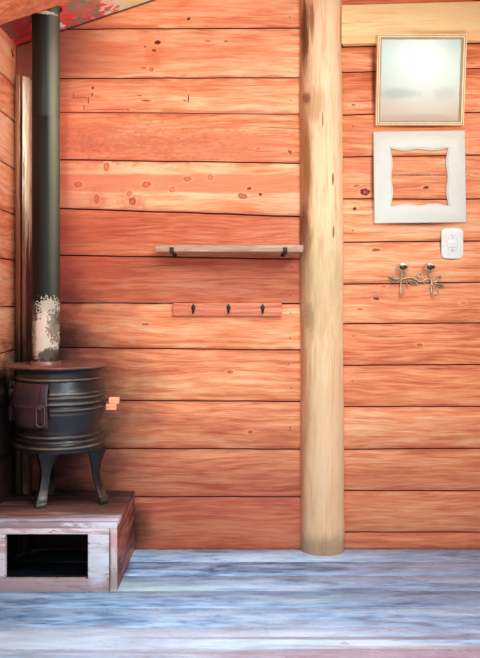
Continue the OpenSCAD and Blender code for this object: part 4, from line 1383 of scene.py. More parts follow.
            Mark((-1.100, 0.20, 1.9), (0.092, 0.20, 2.0), (8, 10, 8), 0.97, 0.1, (9, 9, 3), 0.42),
            # Painted highlight down its right side
            Mark((-0.986, 0.17, 2.05), (0.013, 0.20, 0.72), (164, 168, 144), 0.58, 0.2, (9, 9, 3), 0.9),
            Mark((-1.023, 0.21, 2.10), (0.09, 0.20, 0.10), (14, 16, 14), 0.50, 0.6, (9, 9, 3), 0.8),
            Mark((-1.008, 0.16, 2.128), (0.030, 0.10, 0.006), (226, 210, 180), 0.70, 3.0, (110, 110, 110), 0.2),
            Mark((-1.018, 0.16, 0.962), (0.050, 0.10, 0.090), (232, 220, 202), 0.97, 1.8, (60, 60, 60), 0.16),
            Mark((-1.000, 0.16, 1.070), (0.040, 0.10, 0.030), (206, 198, 180), 0.85, 4.0, (130, 130, 130), 0.08),
            Mark((-0.985, 0.16, 1.000), (0.022, 0.10, 0.060), (112, 100, 84), 0.80, 3.6, (110, 110, 110), 0.12),
            Mark((-1.000, 0.16, 0.890), (0.040, 0.09, 0.032), (70, 58, 50), 0.90, 1.6, (60, 60, 60), 0.2),
            Mark((-1.064, 0.16, 0.975), (0.017, 0.09, 0.10), (110, 106, 90), 0.65, 1.4, (60, 60, 60), 0.4),
        ),
    ),
    "grip_wood": TimberFinish(
        (255, 206, 172), (252, 170, 130), (222, 126, 92), rings=16, flow=3,
        warm=(244, 150, 112),
    ),
    "shelf_wood": TimberFinish(
        (212, 176, 148), (178, 138, 114), (112, 80, 68), rings=12, flow=5, rough=0.55,
        warm=(166, 114, 88),
    ),
    "rail_wood": TimberFinish(
        (248, 190, 150), (230, 140, 102), (180, 90, 68), rings=12, flow=5, rough=0.55,
        marks=(Mark((-0.36, 0.38, 1.035), (0.25, 0.1, 0.010), (190, 96, 74), 0.5, 1.5, (8, 9, 60), 0.6),),
    ),
    "switch_plastic": PlasticFinish(
        (238, 246, 240), (222, 226, 216), marks=(
            # Painted shade lines round the rim, across the button and round the screws
            Mark((0.512, 0.39, 1.317), (0.0212, 0.1, 0.0330), (158, 158, 146), 0.55, 0.0, SPOT, 0.04),
            Mark((0.512, 0.39, 1.317), (0.0196, 0.1, 0.0312), (240, 247, 240), 1.0, 0.0, SPOT, 0.04),
            Mark((0.512, 0.39, 1.3342), (0.0150, 0.1, 0.0011), (150, 150, 138), 0.80, 0.0, SPOT, 0.3),
            Mark((0.512, 0.39, 1.2998), (0.0150, 0.1, 0.0011), (150, 150, 138), 0.80, 0.0, SPOT, 0.3),
            Mark((0.512, 0.39, 1.317), (0.0130, 0.1, 0.0009), (176, 176, 164), 0.70, 0.0, SPOT, 0.3),
            Mark((0.512, 0.39, 1.3425), (0.0034, 0.1, 0.0034), (130, 130, 122), 0.75, 0.0, SPOT, 0.3),
            Mark((0.512, 0.39, 1.2915), (0.0034, 0.1, 0.0034), (130, 130, 122), 0.75, 0.0, SPOT, 0.3),
        ),
    ),
    "rack_metal": SteelFinish(
        (226, 206, 172), (176, 150, 118), (96, 74, 56), metal=0.4, rough=0.34,
        wear=0.22, scale=46, glooms=(
            # Painted shade, with patina, on the backs of the rods against the wall
            Gloom((0, 1, 0), WALL_Y - 0.0096, WALL_Y - 0.0072, (40, 22, 20), 0.92),
        ),
        marks=tuple(
            # Painted shade inside the two flower cups
            Mark((x, 0.383, 1.222), (0.019, 0.013, 0.010), (34, 30, 26), 0.95, 0.2, SPOT, 0.25)
            for x in (0.320, 0.427)
        ),
    ),
    "pale_frame": TimberFinish(
        (255, 244, 204), (252, 232, 186), (222, 190, 136), grain=Grain.Z, rings=3, flow=2,
        # The groove share paints shade in the frame's groove and in the step by the slip
        rough=0.4, warm=(232, 204, 150), contrast=0.6, split_share=0.1, groove=0.62,
    ),
    "print_paper": PrintFinish(
        (180, 208, 196), (188, 198, 182), (206, 190, 166), low=1.79, high=2.10,
        marks=(
            # The print's pale top, brightened by a painted glare on the glass
            Mark((0.390, 0.36, 2.00), (0.15, 0.2, 0.12), (216, 240, 226), 0.75, 0.5, (9, 9, 9), 0.95),
            Mark((0.385, 0.36, 2.03), (0.07, 0.2, 0.06), (236, 252, 242), 0.80, 0.3, (9, 9, 9), 0.85),
            Mark((0.300, 0.36, 1.895), (0.070, 0.2, 0.020), (146, 176, 166), 0.60, 1.4, (20, 9, 30), 0.6),
            Mark((0.480, 0.36, 1.895), (0.040, 0.2, 0.024), (160, 176, 168), 0.40, 1.4, (20, 9, 30), 0.6),
            Mark((0.380, 0.36, 1.800), (0.160, 0.2, 0.018), (180, 160, 138), 0.60, 0.8, (20, 9, 30), 0.5),
        ),
    ),
    "white_paint": PaintFinish(
        (224, 231, 219), (214, 217, 202), (206, 190, 160), gone=0.10, bare_share=0.0,
        scale=(18, 18, 18), rough=0.42, relief=0.0002,
    ),
}


@dataclass
class Paintshop:
    """Keeps the materials and puts them on pieces and CAD nodes."""

    materials: dict[str, bpy.types.Material] = field(default_factory=dict)

    def mix_all(self) -> None:
        """Builds the material of every finish."""
        effects = Effects()
        self.materials = {slot: finish.build(slot, effects) for slot, finish in FINISHES.items()}

    def dress_solids(self) -> None:
        """Puts each CAD node's own finish on it."""
        for node, slot in SLOTS.items():
            solid = frame["nodes"][node]
            if not solid.material_slots:
                solid.data.materials.append(self.materials[slot])
            for place in solid.material_slots:
                place.material = self.materials[slot]

    def dress(self, part: Part, slot: str, *nodes: str, body: Body = Body.BAY, finish: str = "") -> None:
        """Gives a new piece the material of its slot or its own finish, and its body, and hides the CAD nodes that it
        stands for.

        Args:
            part: The piece.
            slot: The record's material slot.
            *nodes: CAD nodes it replaces.
            body: Body it moves with.
            finish: Name of the finish, where it isn't the slot's own.
        """
        piece = part.piece
        piece.data.materials.clear()
        piece.data.materials.append(self.materials[finish or slot])
        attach(piece, body.value)
        if nodes:
            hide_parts(*nodes)
        LOG.info("%s: %d faces, %s", piece.name, len(piece.data.polygons), slot)


@dataclass(frozen=True)
class BoardSpec:
    """One wall board: its edges' heights in millimetres at both ends, its tone, -1 dark to 1 pale, and its joints."""

    low: Spot
    high: Spot
    tone: float = 0.0
    gap: float = 0.004

    def edge(self, pair: Spot, share: float) -> float:
        """Gives the height of one of its edges at a share of its length."""
        return FLOOR_Z + (pair[0] + (pair[1] - pair[0]) * share) / 1000


@dataclass
class BoardMaker:
    """Makes rebated boards with soft, slightly wavy edges, in the end wall's plane."""

    thick: float = 0.048
    lip: float = 0.018
    cuts: int = 18
    soft: float = 0.0035

    def board(self, name: str, start: float, end: float, spec: BoardSpec, seed: float) -> Part:
        """Makes one board.

        Args:
            name: Name of the board.
            start: X of its left end.
            end: X of its right end.
            spec: Its heights, tone and joints.
            seed: Number that its grain starts from.

        Returns:
            The board.
        """
        z0, z1 = spec.low[0] / 1000 + FLOOR_Z, spec.high[0] / 1000 + FLOOR_Z
        board = Part.block(name, (start, WALL_Y + self.lip, z0 + 0.0002), (end, WALL_Y + self.thick, z1 - 0.0002))

        def raise_face() -> None:
            """Sets the face out from the rebates above and below it."""
            bpy.ops.mesh.inset(thickness=spec.gap / 2)
            bpy.ops.mesh.extrude_region_move(TRANSFORM_OT_translate={"value": (0, -self.lip, 0)})

        board.edit(raise_face, Pick.FACES, lambda way: way.y < -ALONG)
        middle = (z0 + z1) / 2
        for (first, last), upper in ((spec.low, False), (spec.high, True)):
            board.shift(lambda p, u=upper: p.x > end - 0.01 and (p.z > middle) == u, (0, 0, (last - first) / 1000))
        board.cut_along(0, self.cuts).soften(self.soft).uneven(0.11, 0.0035, "Z").uneven(0.16, 0.0022, "Y")
        return board.mark(seed, spec.tone).grade(
            board_rise=lambda p: p.z - spec.edge(spec.low, (p.x - start) / (end - start)),
            board_height=lambda p: spec.edge(spec.high, (p.x - start) / (end - start))
            - spec.edge(spec.low, (p.x - start) / (end - start)),
        )

    def wall(self, name: str, start: float, end: float, specs: Sequence[BoardSpec], seed: int) -> Part:
        """Makes a stack of boards as one piece.

        Args:
            name: Name of the piece.
            start: X of its left end.
            end: X of its right end.
            specs: Its boards.
            seed: Seed of the grain.

        Returns:
            The piece.
        """
        dice = random.Random(seed)
        rows = enumerate(specs)
        return Part.join(
            name, [self.board(f"{name}_{i}", start, end, spec, round(dice.uniform(0, 40), 2)) for i, spec in rows]
        )


@dataclass
class EndWall:
    """The boarded end wall in two bays beside the ridge post."""

    shop: Paintshop
    left_joints: tuple[Spot, ...] = (
        (0, 0), (206, 204), (395, 390), (584, 576), (789, 776), (961, 957), (1149, 1130),
        (1334, 1296), (1522, 1505), (1705, 1696), (1833, 1838), (2027, 2033), (2206, 2210), (2380, 2380),
    )
    right_joints: tuple[Spot, ...] = (
        (0, 0), (67, 67), (230, 226), (390, 396), (556, 558), (717, 722), (879, 885),
        (1033, 1048), (1197, 1206), (1366, 1364), (1528, 1546), (1692, 1715), (1858, 1890), (1956, 1988),
    )
    left_tones: tuple[float, ...] = (-0.9, -0.7, -0.45, -0.4, 0.0, -0.6, -0.3, 1.2, 0.05, 0.35, 0.8, 0.25, -0.2)
    right_tones: tuple[float, ...] = (-0.5, -0.5, -0.4, -0.4, -0.3, -0.8, 0.1, 0.1, 0.3, 0.0, 0.0, -0.5, -0.2)
    left_gaps: tuple[float, ...] = (4.0, 4.0, 4.5, 4.0, 4.5, 4.5, 5.0, 5.5, 3.0, 2.2, 5.5, 2.5, 4.0)
    middle: float = 0.062
    beam: float = 150.0
    upper_rows: tuple[float, ...] = (0.0, 150.0, 270.0)
    nail_spots: tuple[Spot, ...] = (
        (291.5, 267.2), (290.4, 295.7), (290.4, 313.3), (289.8, 17), (291.0, 100.5), (288.6, 150.8), (290.2, 338),
        (289.0, 364), (291.4, 388), (290.0, 430), (353.0, 126.4), (352.8, 230.5), (353.4, 336), (352.2, 381),
    )

    def build(self) -> None:
        """Makes both bays and the nails."""
        rows = zip(self.left_joints, self.left_joints[1:], self.left_tones, self.left_gaps)
        left = [BoardSpec(low, high, tone, gap / 1000) for low, high, tone, gap in rows]
        right = [BoardSpec(*row) for row in zip(self.right_joints, self.right_joints[1:], self.right_tones)]
        first, last = (height + self.beam for height in self.right_joints[-1])
        edges = [(first + row, last + row) for row in self.upper_rows]
        right += [BoardSpec(low, high) for low, high in zip(edges, edges[1:])]
        bays = (
            ("left_bay", -HALF_W, -self.middle, left, 11, ""),
            ("right_bay", self.middle, HALF_W, right, 29, "wall_timber_right"),
        )
        for name, start, end, specs, seed, finish in bays:
            bay = BoardMaker().wall(f"{name}_planks", start, end, specs, seed).trim_roof().smooth()
            self.shop.dress(bay, "wall_timber", f"{name}_boards", finish=finish)
        self.nails()

    def nails(self) -> None:
        """Makes the nail heads in the boards, modelled once and copied."""
        first = Part.cylinder("nail_0", (0, 0, 0), 0.0026, 0.0014, 12).soften(0.0006, angle=40)
        y = WALL_Y - 0.0006
        places = [(x, y, z) for x, z in (on_wall(*spot) for spot in self.nail_spots)]
        heads = [first.copy(f"nail_{i + 1}", place) for i, place in enumerate(places)]
        heads.append(first.place(Matrix.Translation((-0.118, y, 0.60))))
        self.shop.dress(Part.join("wall_nails", heads).smooth(), "forged_iron")


@dataclass
class SideWalls:
    """The boarded side walls of the bay, with a stop behind the end wall's ends."""

    shop: Paintshop
    rows: tuple[float, ...] = (0, 195, 390, 582, 774, 950, 1121, 1306, 1476, 1665, 1801, 1990)
    depth: float = 0.950

    def build(self) -> None:
        """Makes the left wall, and the right one as its mirror image."""
        dice = random.Random(5)
        edges = [(z, z + 5 * math.sin(math.radians(z))) for z in self.rows]
        specs = [BoardSpec(low, high, round(dice.uniform(-0.4, 0.4), 2)) for low, high in zip(edges, edges[1:])]
        for side, name in ((-1, "left_side"), (1, "right_side")):
            wall = BoardMaker(cuts=14).wall(f"{name}_planks", -self.depth, 0.048, specs, 40 + side)
            wall.place(Matrix.Translation((0, -WALL_Y, 0)))
            wall.place(Matrix.Translation((-HALF_W, WALL_Y, 0)) @ Matrix.Rotation(QUARTER, 4, "Z"))
            low, high = (-HALF_W - 0.030, WALL_Y + 0.020, FLOOR_Z + 0.004), (-HALF_W - 0.001, WALL_Y + 0.046, 2.1)
            wall = Part.join(f"{name}_planks", [wall, Part.block("corner_stop", low, high)])
            if side > 0:
                wall.place(Matrix.Diagonal((-1, 1, 1, 1))).tidy(1e-7)
            self.shop.dress(wall.trim_roof(-0.002).smooth(), "side_timber", f"{name}_boards")


@dataclass
class RidgePost:
    """The peeled log that carries the ridge."""

    shop: Paintshop
    radius: float = 0.084
    height: float = RIDGE_H + 0.02
    rings: int = 44
    foot: Spot = (0.008, WALL_Y + 0.005)

    def build(self) -> None:
        """Makes the log, lets it lean and bow, and cuts it to the roof."""
        middle = (*self.foot, FLOOR_Z + self.height / 2)
        log = Part.cylinder("ridge_log", middle, self.radius, self.height, 72, (0, 0, 0)).cut_along(2, self.rings - 1)
        for i in range(self.rings + 1):
            self.bend(log, self.height * i / self.rings)
        log.uneven(0.20, 0.006).uneven(0.05, 0.0016).trim_roof()
        for side in (-1, 1):
            wedge = Part.block("wedge", (-0.13, WALL_Y - 0.2, FLOOR_Z + 2.0), (0.13, WALL_Y - 0.001, FLOOR_Z + 2.45))
            peak = (0, 0, FLOOR_Z + RIDGE_H - 0.0215)
            log.carve(wedge.trim(peak, (-side * math.sin(SLOPE), 0, -math.cos(SLOPE))))
        self.shop.dress(log.smooth(50), "peeled_log", "ridge_post")

    def bend(self, log: Part, z: float) -> None:
        """Gives the ring at a height its girth and its place on the leaning, bowed axis.

        Args:
            log: The log.
            z: Height of the ring above the floor.
        """
        level = FLOOR_Z + z
        girth = 1 + 0.010 * math.sin(z * 5.1 + 1.0) + 0.006 * math.sin(z * 11.0 + 2.0)
        oval = 1 + 0.012 * math.sin(z * 2.3)
        lean = -z / 225 * 1.0 + 0.002 * math.sin(math.pi * z / self.height)

        def move() -> None:
            """Resizes and moves the ring."""
            bpy.ops.transform.resize(value=(girth * oval, girth / oval, 1), center_override=(*self.foot, level))
            bpy.ops.transform.translate(value=(lean, 0.002 * math.sin(5.2 * z / self.height), 0))

        log.edit(move, Pick.POINTS, lambda p: abs(p.z - level) < 0.005)


@dataclass
class Floor:
    """The washed floor boards."""

    shop: Paintshop
    width: float = 0.145
    thick: float = 0.025
    depth: float = 0.950

    def build(self) -> None:
        """Makes the boards one by one, each with its own grain seed and tone."""
        dice = random.Random(17)
        parts = []
        for i in range(math.ceil(self.depth / self.width)):
            near = WALL_Y - min((i + 1) * self.width, self.depth) + 0.001
            far = WALL_Y - i * self.width - 0.001
            board = Part.block(f"floor_{i}", (-HALF_W, near, FLOOR_Z - self.thick), (HALF_W, far, FLOOR_Z))
            board.cut_along(0, 24).soften(0.0022).uneven(0.13, 0.0012, "Z")
            parts.append(board.mark(round(dice.uniform(0, 40), 2), round(dice.uniform(-0.5, 0.5), 2)))
        self.shop.dress(Part.join("floor_planks", parts).smooth(), "washed_floor", "floor_boards")


@dataclass
class Hearth:
    """The box under the stove: worn top boards, painted front frame and knotty side panels."""

    shop: Paintshop
    left: float = -1.187
    right: float = -0.724
    front: float = -0.049
    top: float = 0.355
    board: float = 0.018
    panel: float = 0.026
    post: float = 0.062
    seam: float = 0.0004
    opening: Spot = (-1.095, -0.820)
    board_edges: tuple[float, ...] = (0.0, 0.095, 0.215, 0.335, 0.450)

    def build(self) -> None:
        """Makes the top, the frame and the panels."""
        self.dress("hearth_boards", self.boards(), "hearth_top_wood", "hearth_top")
        self.dress("hearth_bars", self.bars(), "worn_paint", "hearth_front")
        self.dress("hearth_panels", self.panels(), "knotty_wood", "hearth_sides")

    def dress(self, name: str, parts: list[Part], slot: str, node: str) -> None:
        """Joins parts into one piece and dresses it."""
        self.shop.dress(Part.join(name, parts).smooth(), slot, node)

    def boards(self) -> list[Part]:
        """Lays the four top boards, the back one cut out for the corner post.

        Returns:
            The boards.
        """
        parts = []
        for i, (near, far) in enumerate(zip(self.board_edges, self.board_edges[1:])):
            low = (self.left + 0.001, WALL_Y - far + 0.001, self.top - self.board)
            board = Part.block(f"hearth_board_{i}", low, (self.right, WALL_Y - near - 0.0015, self.top))
            board.cut_along(0, 14).soften(0.0024).uneven(0.07, 0.0014)
            parts.append(board.mark(3.3 + 5.1 * i, (-0.3, -0.1, 0.1, 0.3)[i]))
        low, high = (self.left - 0.02, WALL_Y - self.post, self.top - 0.03), (-1.121, WALL_Y + 0.02, self.top + 0.01)
        parts[0].carve(Part.block("post_seat", low, high))
        return parts

    def bars(self) -> list[Part]:
        """Makes two rails and two stiles round the opening, with fine seams between them.

        Returns:
            The bars.
        """
        sill, head, high = FLOOR_Z + 0.044, self.top - self.board - 0.019, self.top - self.board
        x0, x1 = self.left + self.panel, self.right - self.panel
        rows = (
            (x0, FLOOR_Z, x1, sill),
            (x0, head, x1, high),
            (x0, sill + self.seam, self.opening[0], head - self.seam),
            (self.opening[1], sill + self.seam, x1, head - self.seam),
        )
        parts = []
        for i, (left, low, right, top) in enumerate(rows):
            bar = Part.block(f"hearth_bar_{i}", (left, self.front, low), (right, self.front + 0.022, top))
            parts.append(bar.cut_along(0 if i < 2 else 2, 10).soften(0.0016).uneven(0.05, 0.0008))
        return parts

    def panels(self) -> list[Part]:
        """Makes the two side panels.

        Returns:
            The panels.
        """
        parts = []
        for i, (x, back) in enumerate(((self.right - self.panel, WALL_Y), (self.left, WALL_Y - self.post))):
            high = (x + self.panel, back, self.top - self.board)
            panel = Part.block(f"hearth_panel_{i}", (x, self.front, FLOOR_Z), high)
            parts.append(panel.cut_along(1, 12).soften(0.0018).uneven(0.06, 0.0012).mark(8.0 + i, 0.0))
        return parts


@dataclass
class Picture:
    """The thin picture frame: two ridges with a groove between them, and a slip round the print."""

    shop: Paintshop
    side: float = 0.340
    foot: Point = (0.382, WALL_Y, FLOOR_Z + 1.651)
    lean: float = 7.37
    front_steps: tuple[Spot, ...] = (
        (0.0035, 0.0), (0.0008, -0.004), (0.0014, 0.0), (0.0008, 0.003),
        (0.0045, 0.0), (0.0003, -0.0085), (0.0057, 0.0),
    )
    back_steps: tuple[Spot, ...] = ((0.0129, 0.0), (0.0001, -0.008), (0.0040, 0.0))

    @staticmethod
    def sink(steps: Sequence[Spot]) -> None:
        """Steps the picked face in and out, and opens its middle.

        Args:
            steps: Width and rise of each step.
        """
        for width, rise in steps:
            bpy.ops.mesh.inset(thickness=width, depth=rise)
        bpy.ops.mesh.delete(type="FACE")

    def sink_back(self) -> None:
        """Cuts the rebate behind the print and closes the inside of the frame."""
        self.sink(self.back_steps)
        bpy.ops.mesh.select_mode(type="EDGE")
        bpy.ops.mesh.select_non_manifold()
        bpy.ops.mesh.bridge_edge_loops()

    def build(self) -> None:
        """Makes the frame lying flat and leans it on the wall."""
        half = self.side / 2
        bars = Part.block("picture_bars", (-half, 0, 0), (half, self.side, 0.024))
        bars.edit(lambda: self.sink(self.front_steps), Pick.FACES, lambda way: way.z > ALONG)
        bars.edit(self.sink_back, Pick.FACES, lambda way: way.z < -ALONG).tidy().soften(0.0004)
        # Marks the groove and the step by the slip, where the finish paints shade
        bars.grade(groove=lambda p: 1.0 if abs(p.z - 0.020) < 0.0007 or 0.012 < p.z < 0.0155 else 0.0)
        stand = Matrix.Rotation(math.radians(self.lean), 4, "X") @ Matrix.Rotation(QUARTER, 4, "X")
        bars.place(Matrix.Translation(self.foot) @ stand)
        self.shop.dress(bars.smooth(40), "pale_frame", "picture_frame")


@dataclass
class Switch:
    """The light switch: an arched cover, the rim round its button and two small screws."""

    shop: Paintshop
    centre: Point = (0.512, WALL_Y, FLOOR_Z + 1.192)
    wide: float = 0.084
    high: float = 0.119

    def box(self, name: str, wide: float, high: float, out: float, back: float, rise: float = 0.0) -> Part:
        """Adds a block before the wall, by its half width and half height.

        Args:
            name: Name of the piece.
            wide: Half its width.
            high: Half its height.
            out: Distance of its face from the wall.
            back: Distance of its back from the wall.
            rise: Its height above the switch's centre.

        Returns:
            The block.
        """
        x, y, z = self.centre
        return Part.block(name, (x - wide, y - out, z + rise - high), (x + wide, y - back, z + rise + high))

    def cover(self) -> Part:
        """Makes the cover, with round corners and an arched top and foot.

        Returns:
            The cover.
        """
        x, _, z = self.centre
        w, h = self.wide / 2, self.high / 2
        cover = self.box("switch_cover", w, h, 0.009, 0.0)
        round_off = partial(bpy.ops.mesh.bevel, offset=0.013, segments=6, affect="EDGES")
        cover.edit(round_off, Pick.EDGES, lambda way: abs(way.y) > ALONG).cut_along(0, 10)
        for side in (-1, 1):
            for across in (-1 + 0.2 * i for i in range(11)):
                cover.shift(
                    lambda p, s=side, a=across: s * (p.z - z) > h - 0.014 and abs((p.x - x) / w - a) < 0.1,
                    (0, 0, -side * 0.0045 * across * across),
                )
        return cover.soften(0.0024, 3)

    def build(self) -> None:
        """Makes the cover with the small parts on it, and the button."""
        x, y, z = self.centre
        parts = [self.cover(), self.box("switch_rim", 0.019, 0.031, 0.0097, 0.0085).soften(0.0004)]
        for rise in (-0.0255, 0.0255):
            screw = Part.cylinder("switch_screw", (x, y - 0.0100, z + rise), 0.0030, 0.0016, 20)
            parts.append(screw.carve(self.box("slot", 0.0004, 0.0022, 0.02, 0.0102, rise)))
        self.shop.dress(Part.join("switch_cover", parts).smooth(40), "switch_plastic", "switch_plate")
        button = self.box("switch_button", 0.0155, 0.0145, 0.0104, 0.0090).cut_along(2, 1)
        button.shift(lambda p: abs(p.z - z) < 0.002 and p.y < y - 0.010, (0, -0.0021, 0))
        self.shop.dress(button.soften(0.0006).smooth(30), "switch_plastic", "switch_rocker")


@dataclass
class Rack:
    """The ornamental hook rack: a wavy branch with leaves, curls, two flower cups and two coat hooks."""

    shop: Paintshop
    middle: float = 0.377
    out: float = 0.008
    sides: int = 3
    branch: tuple[Spot, ...] = (
        (-64, 1052), (-46, 1058), (-29, 1060), (-13, 1056), (3, 1045), (15, 1040), (27, 1051), (40, 1056),
        (52, 1050), (62, 1040), (72, 1044), (80, 1053),
    )
    leaves: tuple[tuple[Spot, ...], ...] = (
        (
            (-113, 1068), (-103, 1057), (-90, 1053), (-76, 1053), (-64, 1055), (-68, 1046), (-82, 1039), (-97, 1041),
            (-108, 1050),
        ),
        ((-38, 1050), (-24, 1046), (-10, 1042), (6, 1036), (-6, 1032), (-20, 1033), (-32, 1040)),
        ((66, 1038), (80, 1034), (94, 1031), (112, 1024), (98, 1021), (84, 1022), (72, 1028)),
    )
    twigs: tuple[tuple[Spot, ...], ...] = (
        ((-46, 1046), (-40, 1034), (-36, 1018)),
        ((56, 1042), (60, 1030), (62, 1014)),
        ((20, 1044), (24, 1036), (32, 1032)),
    )
    curls: tuple[tuple[float, ...], ...] = (
        (7, 1070, 11, 230, 400), (-52, 1074, 8, 250, 330), (85, 1060, 8.5, 200, 360),
    )
    studs: tuple[tuple[float, ...], ...] = ((-64, 1050, 0.0070), (54, 1044, 0.0070), (85, 1060, 0.0036))
    cup: tuple[Spot, ...] = (
        (0, 0), (6, 1), (10, 7), (15, 12), (21, 15), (20.4, 16.6), (13, 14), (8, 9), (4, 7), (0, 6.5),
    )

    def at(self, x: float, z: float, out: float = 0.0) -> Point:
        """Gives a point from its offset and height in millimetres and its distance before the rods."""
        return (self.middle + x / 1000, WALL_Y - self.out - out / 1000, FLOOR_Z + z / 1000)

    def build(self) -> None:
        """Makes the rods, hooks, cups, leaves and studs as one piece."""
        parts = self.rods() + self.hooks() + self.cups()
        for i, outline in enumerate(self.leaves):
            parts += self.leaf(f"leaf_{i}", outline)
        for i, (x, z, radius) in enumerate(self.studs):
            stud = Part.cylinder(f"stud_{i}", self.at(x, z, -4), radius, 0.0080, 20)
            parts.append(stud.soften(0.0012, angle=40))
        self.shop.dress(Part.join("branch_rack", parts).smooth(45), "rack_metal", "hook_rack")

    def rods(self) -> list[Part]:
        """Draws the branch, its twigs and its curls.

        Returns:
            The rods.
        """
        radii = [0.0030 + 0.0004 * math.sin(2.1 * i) for i in range(len(self.branch))]
        ways = {"branch": ([self.at(x, z) for x, z in self.branch], radii)}
        for i, way in enumerate(self.twigs):
            ways[f"twig_{i}"] = ([self.at(x, z) for x, z in way], (0.0024, 0.0019, 0.0012))
        for i, (x, z, size, start, sweep) in enumerate(self.curls):
            turns = [(math.radians(start + sweep * k / 12), size * (1 - 0.035 * k)) for k in range(13)]
            way = [self.at(x + r * math.cos(a), z + r * math.sin(a), 0.5) for a, r in turns]
            ways[f"curl_{i}"] = (way, [0.0022 - 0.00006 * k for k in range(13)])
        return [Part.rod(name, way, sizes, self.sides) for name, (way, sizes) in ways.items()]

    def hooks(self) -> list[Part]:
        """Bends the two coat hooks, each with its front prong beside its stem.

        Returns:
            The hooks and their knobs.
        """
        parts = []
        for i, (x, foot, tip) in enumerate(((-64, -67, -57), (54, 53, 76))):
            way = [
                self.at(x, 1052), self.at((x + foot) / 2, 1030), self.at(foot, 1008, 1), self.at(foot, 994, 8),
                self.at((foot + tip) / 2, 988, 18), self.at(tip, 996, 26), self.at((tip * 2 + x) / 3, 1016, 29),
            ]
            radii = (0.0034, 0.0033, 0.0032, 0.0032, 0.0032, 0.0031, 0.0028)
            parts.append(Part.rod(f"hook_{i}", way, radii, self.sides))
            parts.append(Part.cylinder(f"knob_{i}", way[-1], 0.0042, 0.0072, 16, (0, 0, 0)).soften(0.0022, 3, 40))
        return parts

    def cups(self) -> list[Part]:
        """Turns the two open flower cups and puts them on their stems.

        Returns:
            The cups and stems.
        """
        parts = []
        for i, (foot, x) in enumerate(((-63, -61), (49, 43))):
            cup = Part.curve(f"cup_{i}", [(r / 1000, 0.0, h / 1000) for r, h in self.cup])
            cup.edit(lambda: bpy.ops.mesh.spin(steps=40, angle=2 * math.pi, center=(0, 0, 0), axis=(0, 0, 1))).tidy()
            cup.place(Matrix.Translation(self.at(x, 1089, 5)) @ Matrix.Rotation(math.radians(52), 4, "X"))
            way = [self.at(foot, 1050), self.at((foot + x) / 2, 1068, 2), self.at(x, 1090, 6)]
            parts += [cup, Part.rod(f"stem_{i}", way, (0.0030, 0.0026, 0.0034), self.sides)]
        return parts

    def leaf(self, name: str, outline: Sequence[Spot]) -> list[Part]:
        """Makes a thin leaf with a raised rim.

        Args:
            name: Its name.
            outline: Offsets and heights of its edge in millimetres.

        Returns:
            The blade, its rim and its vein.
        """
        flat = [(x / 1000, z / 1000, 0) for x, z in outline]
        blade = Part.curve(name, flat, loop=True, dimensions="2D", fill_mode="BOTH", extrude=0.0007).tidy()
        blade.place(Matrix.Translation(self.at(0, 0, -1)) @ Matrix.Rotation(QUARTER, 4, "X"))
        loop = [self.at(x, z) for x, z in outline]
        rim = Part.rod(f"{name}_rim", loop + loop[:1], [0.0016] * (len(loop) + 1), 2)
        tip = self.at(*outline[len(outline) // 2 - 1], 0.3)
        return [blade, rim, Part.rod(f"{name}_vein", (loop[0], tip), (0.0012, 0.0010), 2)]


@dataclass
class Joinery:
    """Solids' own forms with softened edges, in rows of node, name and the softening's width, steps and angle."""

    shop: Paintshop
    rows: tuple[tuple[str, str, float, int, float], ...] = (
        ("tie_beam", "beam_sawn", 0.003, 3, 40),
        ("corner_posts", "corner_slabs", 0.003, 2, 40),
        ("shelf_board", "shelf_plank", 0.003, 3, 40),
        ("shelf_brackets", "shelf_irons", 0.0006, 2, 40),
        ("tool_rail", "rail_board", 0.0025, 3, 40),
        ("tool_hooks", "hook_irons", 0.0006, 2, 40),
        ("white_frame", "white_moulding", 0.003, 3, 40),
        ("stove_legs", "cast_legs", 0.0015, 2, 40),
        ("lower_rim", "rim_low", 0.0012, 2, 25),
        ("upper_rim", "rim_high", 0.0012, 2, 25),
        ("stove_top", "cooking_plate", 0.001, 2, 30),
        ("side_handle_grips", "wooden_grips", 0.003, 2, 40),
        ("side_handle_wire", "grip_wire", 0.0004, 1, 40),
        ("flue_lower", "flue_pipe_low", 0.0006, 2, 40),
        ("flue_upper", "flue_pipe_high", 0.0006, 2, 40),
        ("door_leaf", "door_plate", 0.001, 2, 30),
        ("door_handle", "door_loop", 0.0005, 1, 40),
    )

    def build(self) -> None:
        """Works over a copy of each solid."""
        for node, name, *softness in self.rows:
            piece = Part.from_solid(node, name).soften(*softness).smooth(40)
            self.shop.dress(piece, SLOTS[node], node, body=Body.DOOR if node.startswith("door_") else Body.BAY)


@dataclass(frozen=True)
class Lamp:
    """A soft square lamp: its place and target, side in metres, power in watts, tint, and angle of its light."""

    name: str
    place: Point
    target: Point
    size: float
    power: float
    tint: Point = (1.0, 1.0, 1.0)
    spread: float = 180.0

    def hang(self) -> None:
        """Makes the lamp and turns it to its target."""
        data = bpy.data.lights.new(self.name, "AREA")
        data.shape, data.size, data.energy = "SQUARE", self.size, self.power
        data.color, data.spread = self.tint, math.radians(self.spread)
        lamp = bpy.data.objects.new(self.name, data)
        lamp.location = self.place
        lamp.rotation_euler = (Vector(self.target) - Vector(self.place)).to_track_quat("-Z", "Y").to_euler()
        lamp.visible_camera = False
        bpy.context.collection.objects.link(lamp)


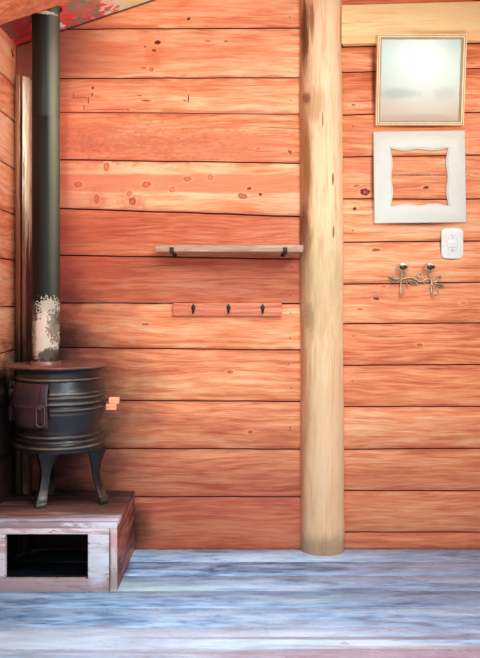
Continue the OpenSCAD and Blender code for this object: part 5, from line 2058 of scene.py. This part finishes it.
@dataclass
class Studio:
    """Camera, lamps, background and the pale floor that the bay stands on."""

    eye: Point = (EYE_X, EYE_Y, EYE_RISE + FLOOR_Z)
    lens: float = 42.4
    shift: Spot = (0.0061, -0.0395)
    lamps: tuple[Lamp, ...] = (
        Lamp("key", (1.00, -2.1, 2.25), (-0.35, 0.4, 1.5), 0.45, 27.0),
        Lamp("lift", (0.55, -0.80, 1.05), (0.50, 0.38, 2.15), 0.3, 0.30, (1.0, 0.99, 0.94), 34.0),
        Lamp("corner", (-0.93, -1.30, 1.85), (-1.13, 0.34, 1.70), 0.25, 0.42, (1.0, 0.99, 0.96), 26.0),
        Lamp("fill", (-1.0, -3.1, 1.7), (-0.2, 0.4, 1.3), 2.2, 17.0),
        Lamp("side", (-0.20, -1.45, 1.55), (-1.05, 0.35, 1.80), 0.5, 3.8, (1.0, 0.98, 0.94), 100.0),
        Lamp("floor", (0.0, -1.15, 2.25), (-0.1, -0.15, 0.12), 0.9, 8.5, (0.66, 0.86, 1.0), 75.0),
        Lamp("back", (0.6, 3.4, 3.0), (0.0, 0.4, 1.4), 2.4, 60.0),
    )

    def build(self) -> None:
        """Sets up the whole studio."""
        self.camera()
        for lamp in self.lamps:
            lamp.hang()
        self.world()
        self.ground()
        bpy.context.scene.view_settings.view_transform = "Standard"

    def camera(self) -> None:
        """Makes the level camera that looks straight at the end wall."""
        data = bpy.data.cameras.new("view")
        data.lens, data.sensor_width = self.lens, 36.0
        data.shift_x, data.shift_y = self.shift
        camera = bpy.data.objects.new("view", data)
        camera.location, camera.rotation_euler = self.eye, FLAT
        bpy.context.collection.objects.link(camera)
        bpy.context.scene.camera = camera

    @staticmethod
    def world() -> None:
        """Makes the even light, and the white background that the camera and reflections see."""
        world = bpy.data.worlds.new("studio")
        bpy.context.scene.world = world
        world.use_nodes = True
        world.node_tree.nodes.clear()
        sheet = Sheet(world.node_tree)
        rays = ("Camera", "Glossy", "Transmission")
        camera, glossy, clear = (sheet.add("LightPath", out=f"Is {ray} Ray") for ray in rays)
        light = sheet.add("Background", {"Color": (0.97, 0.98, 1.0, 1.0), "Strength": 0.55})
        white = sheet.add("Background", {"Color": (1.0, 1.0, 1.0, 1.0), "Strength": 1.0})
        seen = camera.math("MAXIMUM", glossy.math("MAXIMUM", clear))
        sheet.output("World", sheet.add("MixShader", {0: seen, 1: light, 2: white}))

    @staticmethod
    def ground() -> None:
        """Lays the pale floor."""
        bpy.ops.mesh.primitive_plane_add(size=30.0, location=(0, 0, -0.001))
        floor = Part.made("studio_floor").piece
        floor.data.materials.append(FloorFinish().build("studio_floor"))


def main() -> None:
    """Builds every sub-assembly in order."""
    logging.basicConfig(level=logging.INFO, format="%(message)s")
    shop = Paintshop()
    shop.mix_all()
    shop.dress_solids()
    for assembly in (EndWall, SideWalls, RidgePost, Floor, Hearth, Picture, Switch, Rack, Joinery):
        assembly(shop).build()
        LOG.info("%s done", assembly.__name__)
    Studio().build()
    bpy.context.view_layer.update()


if __name__ == "__main__":
    main()
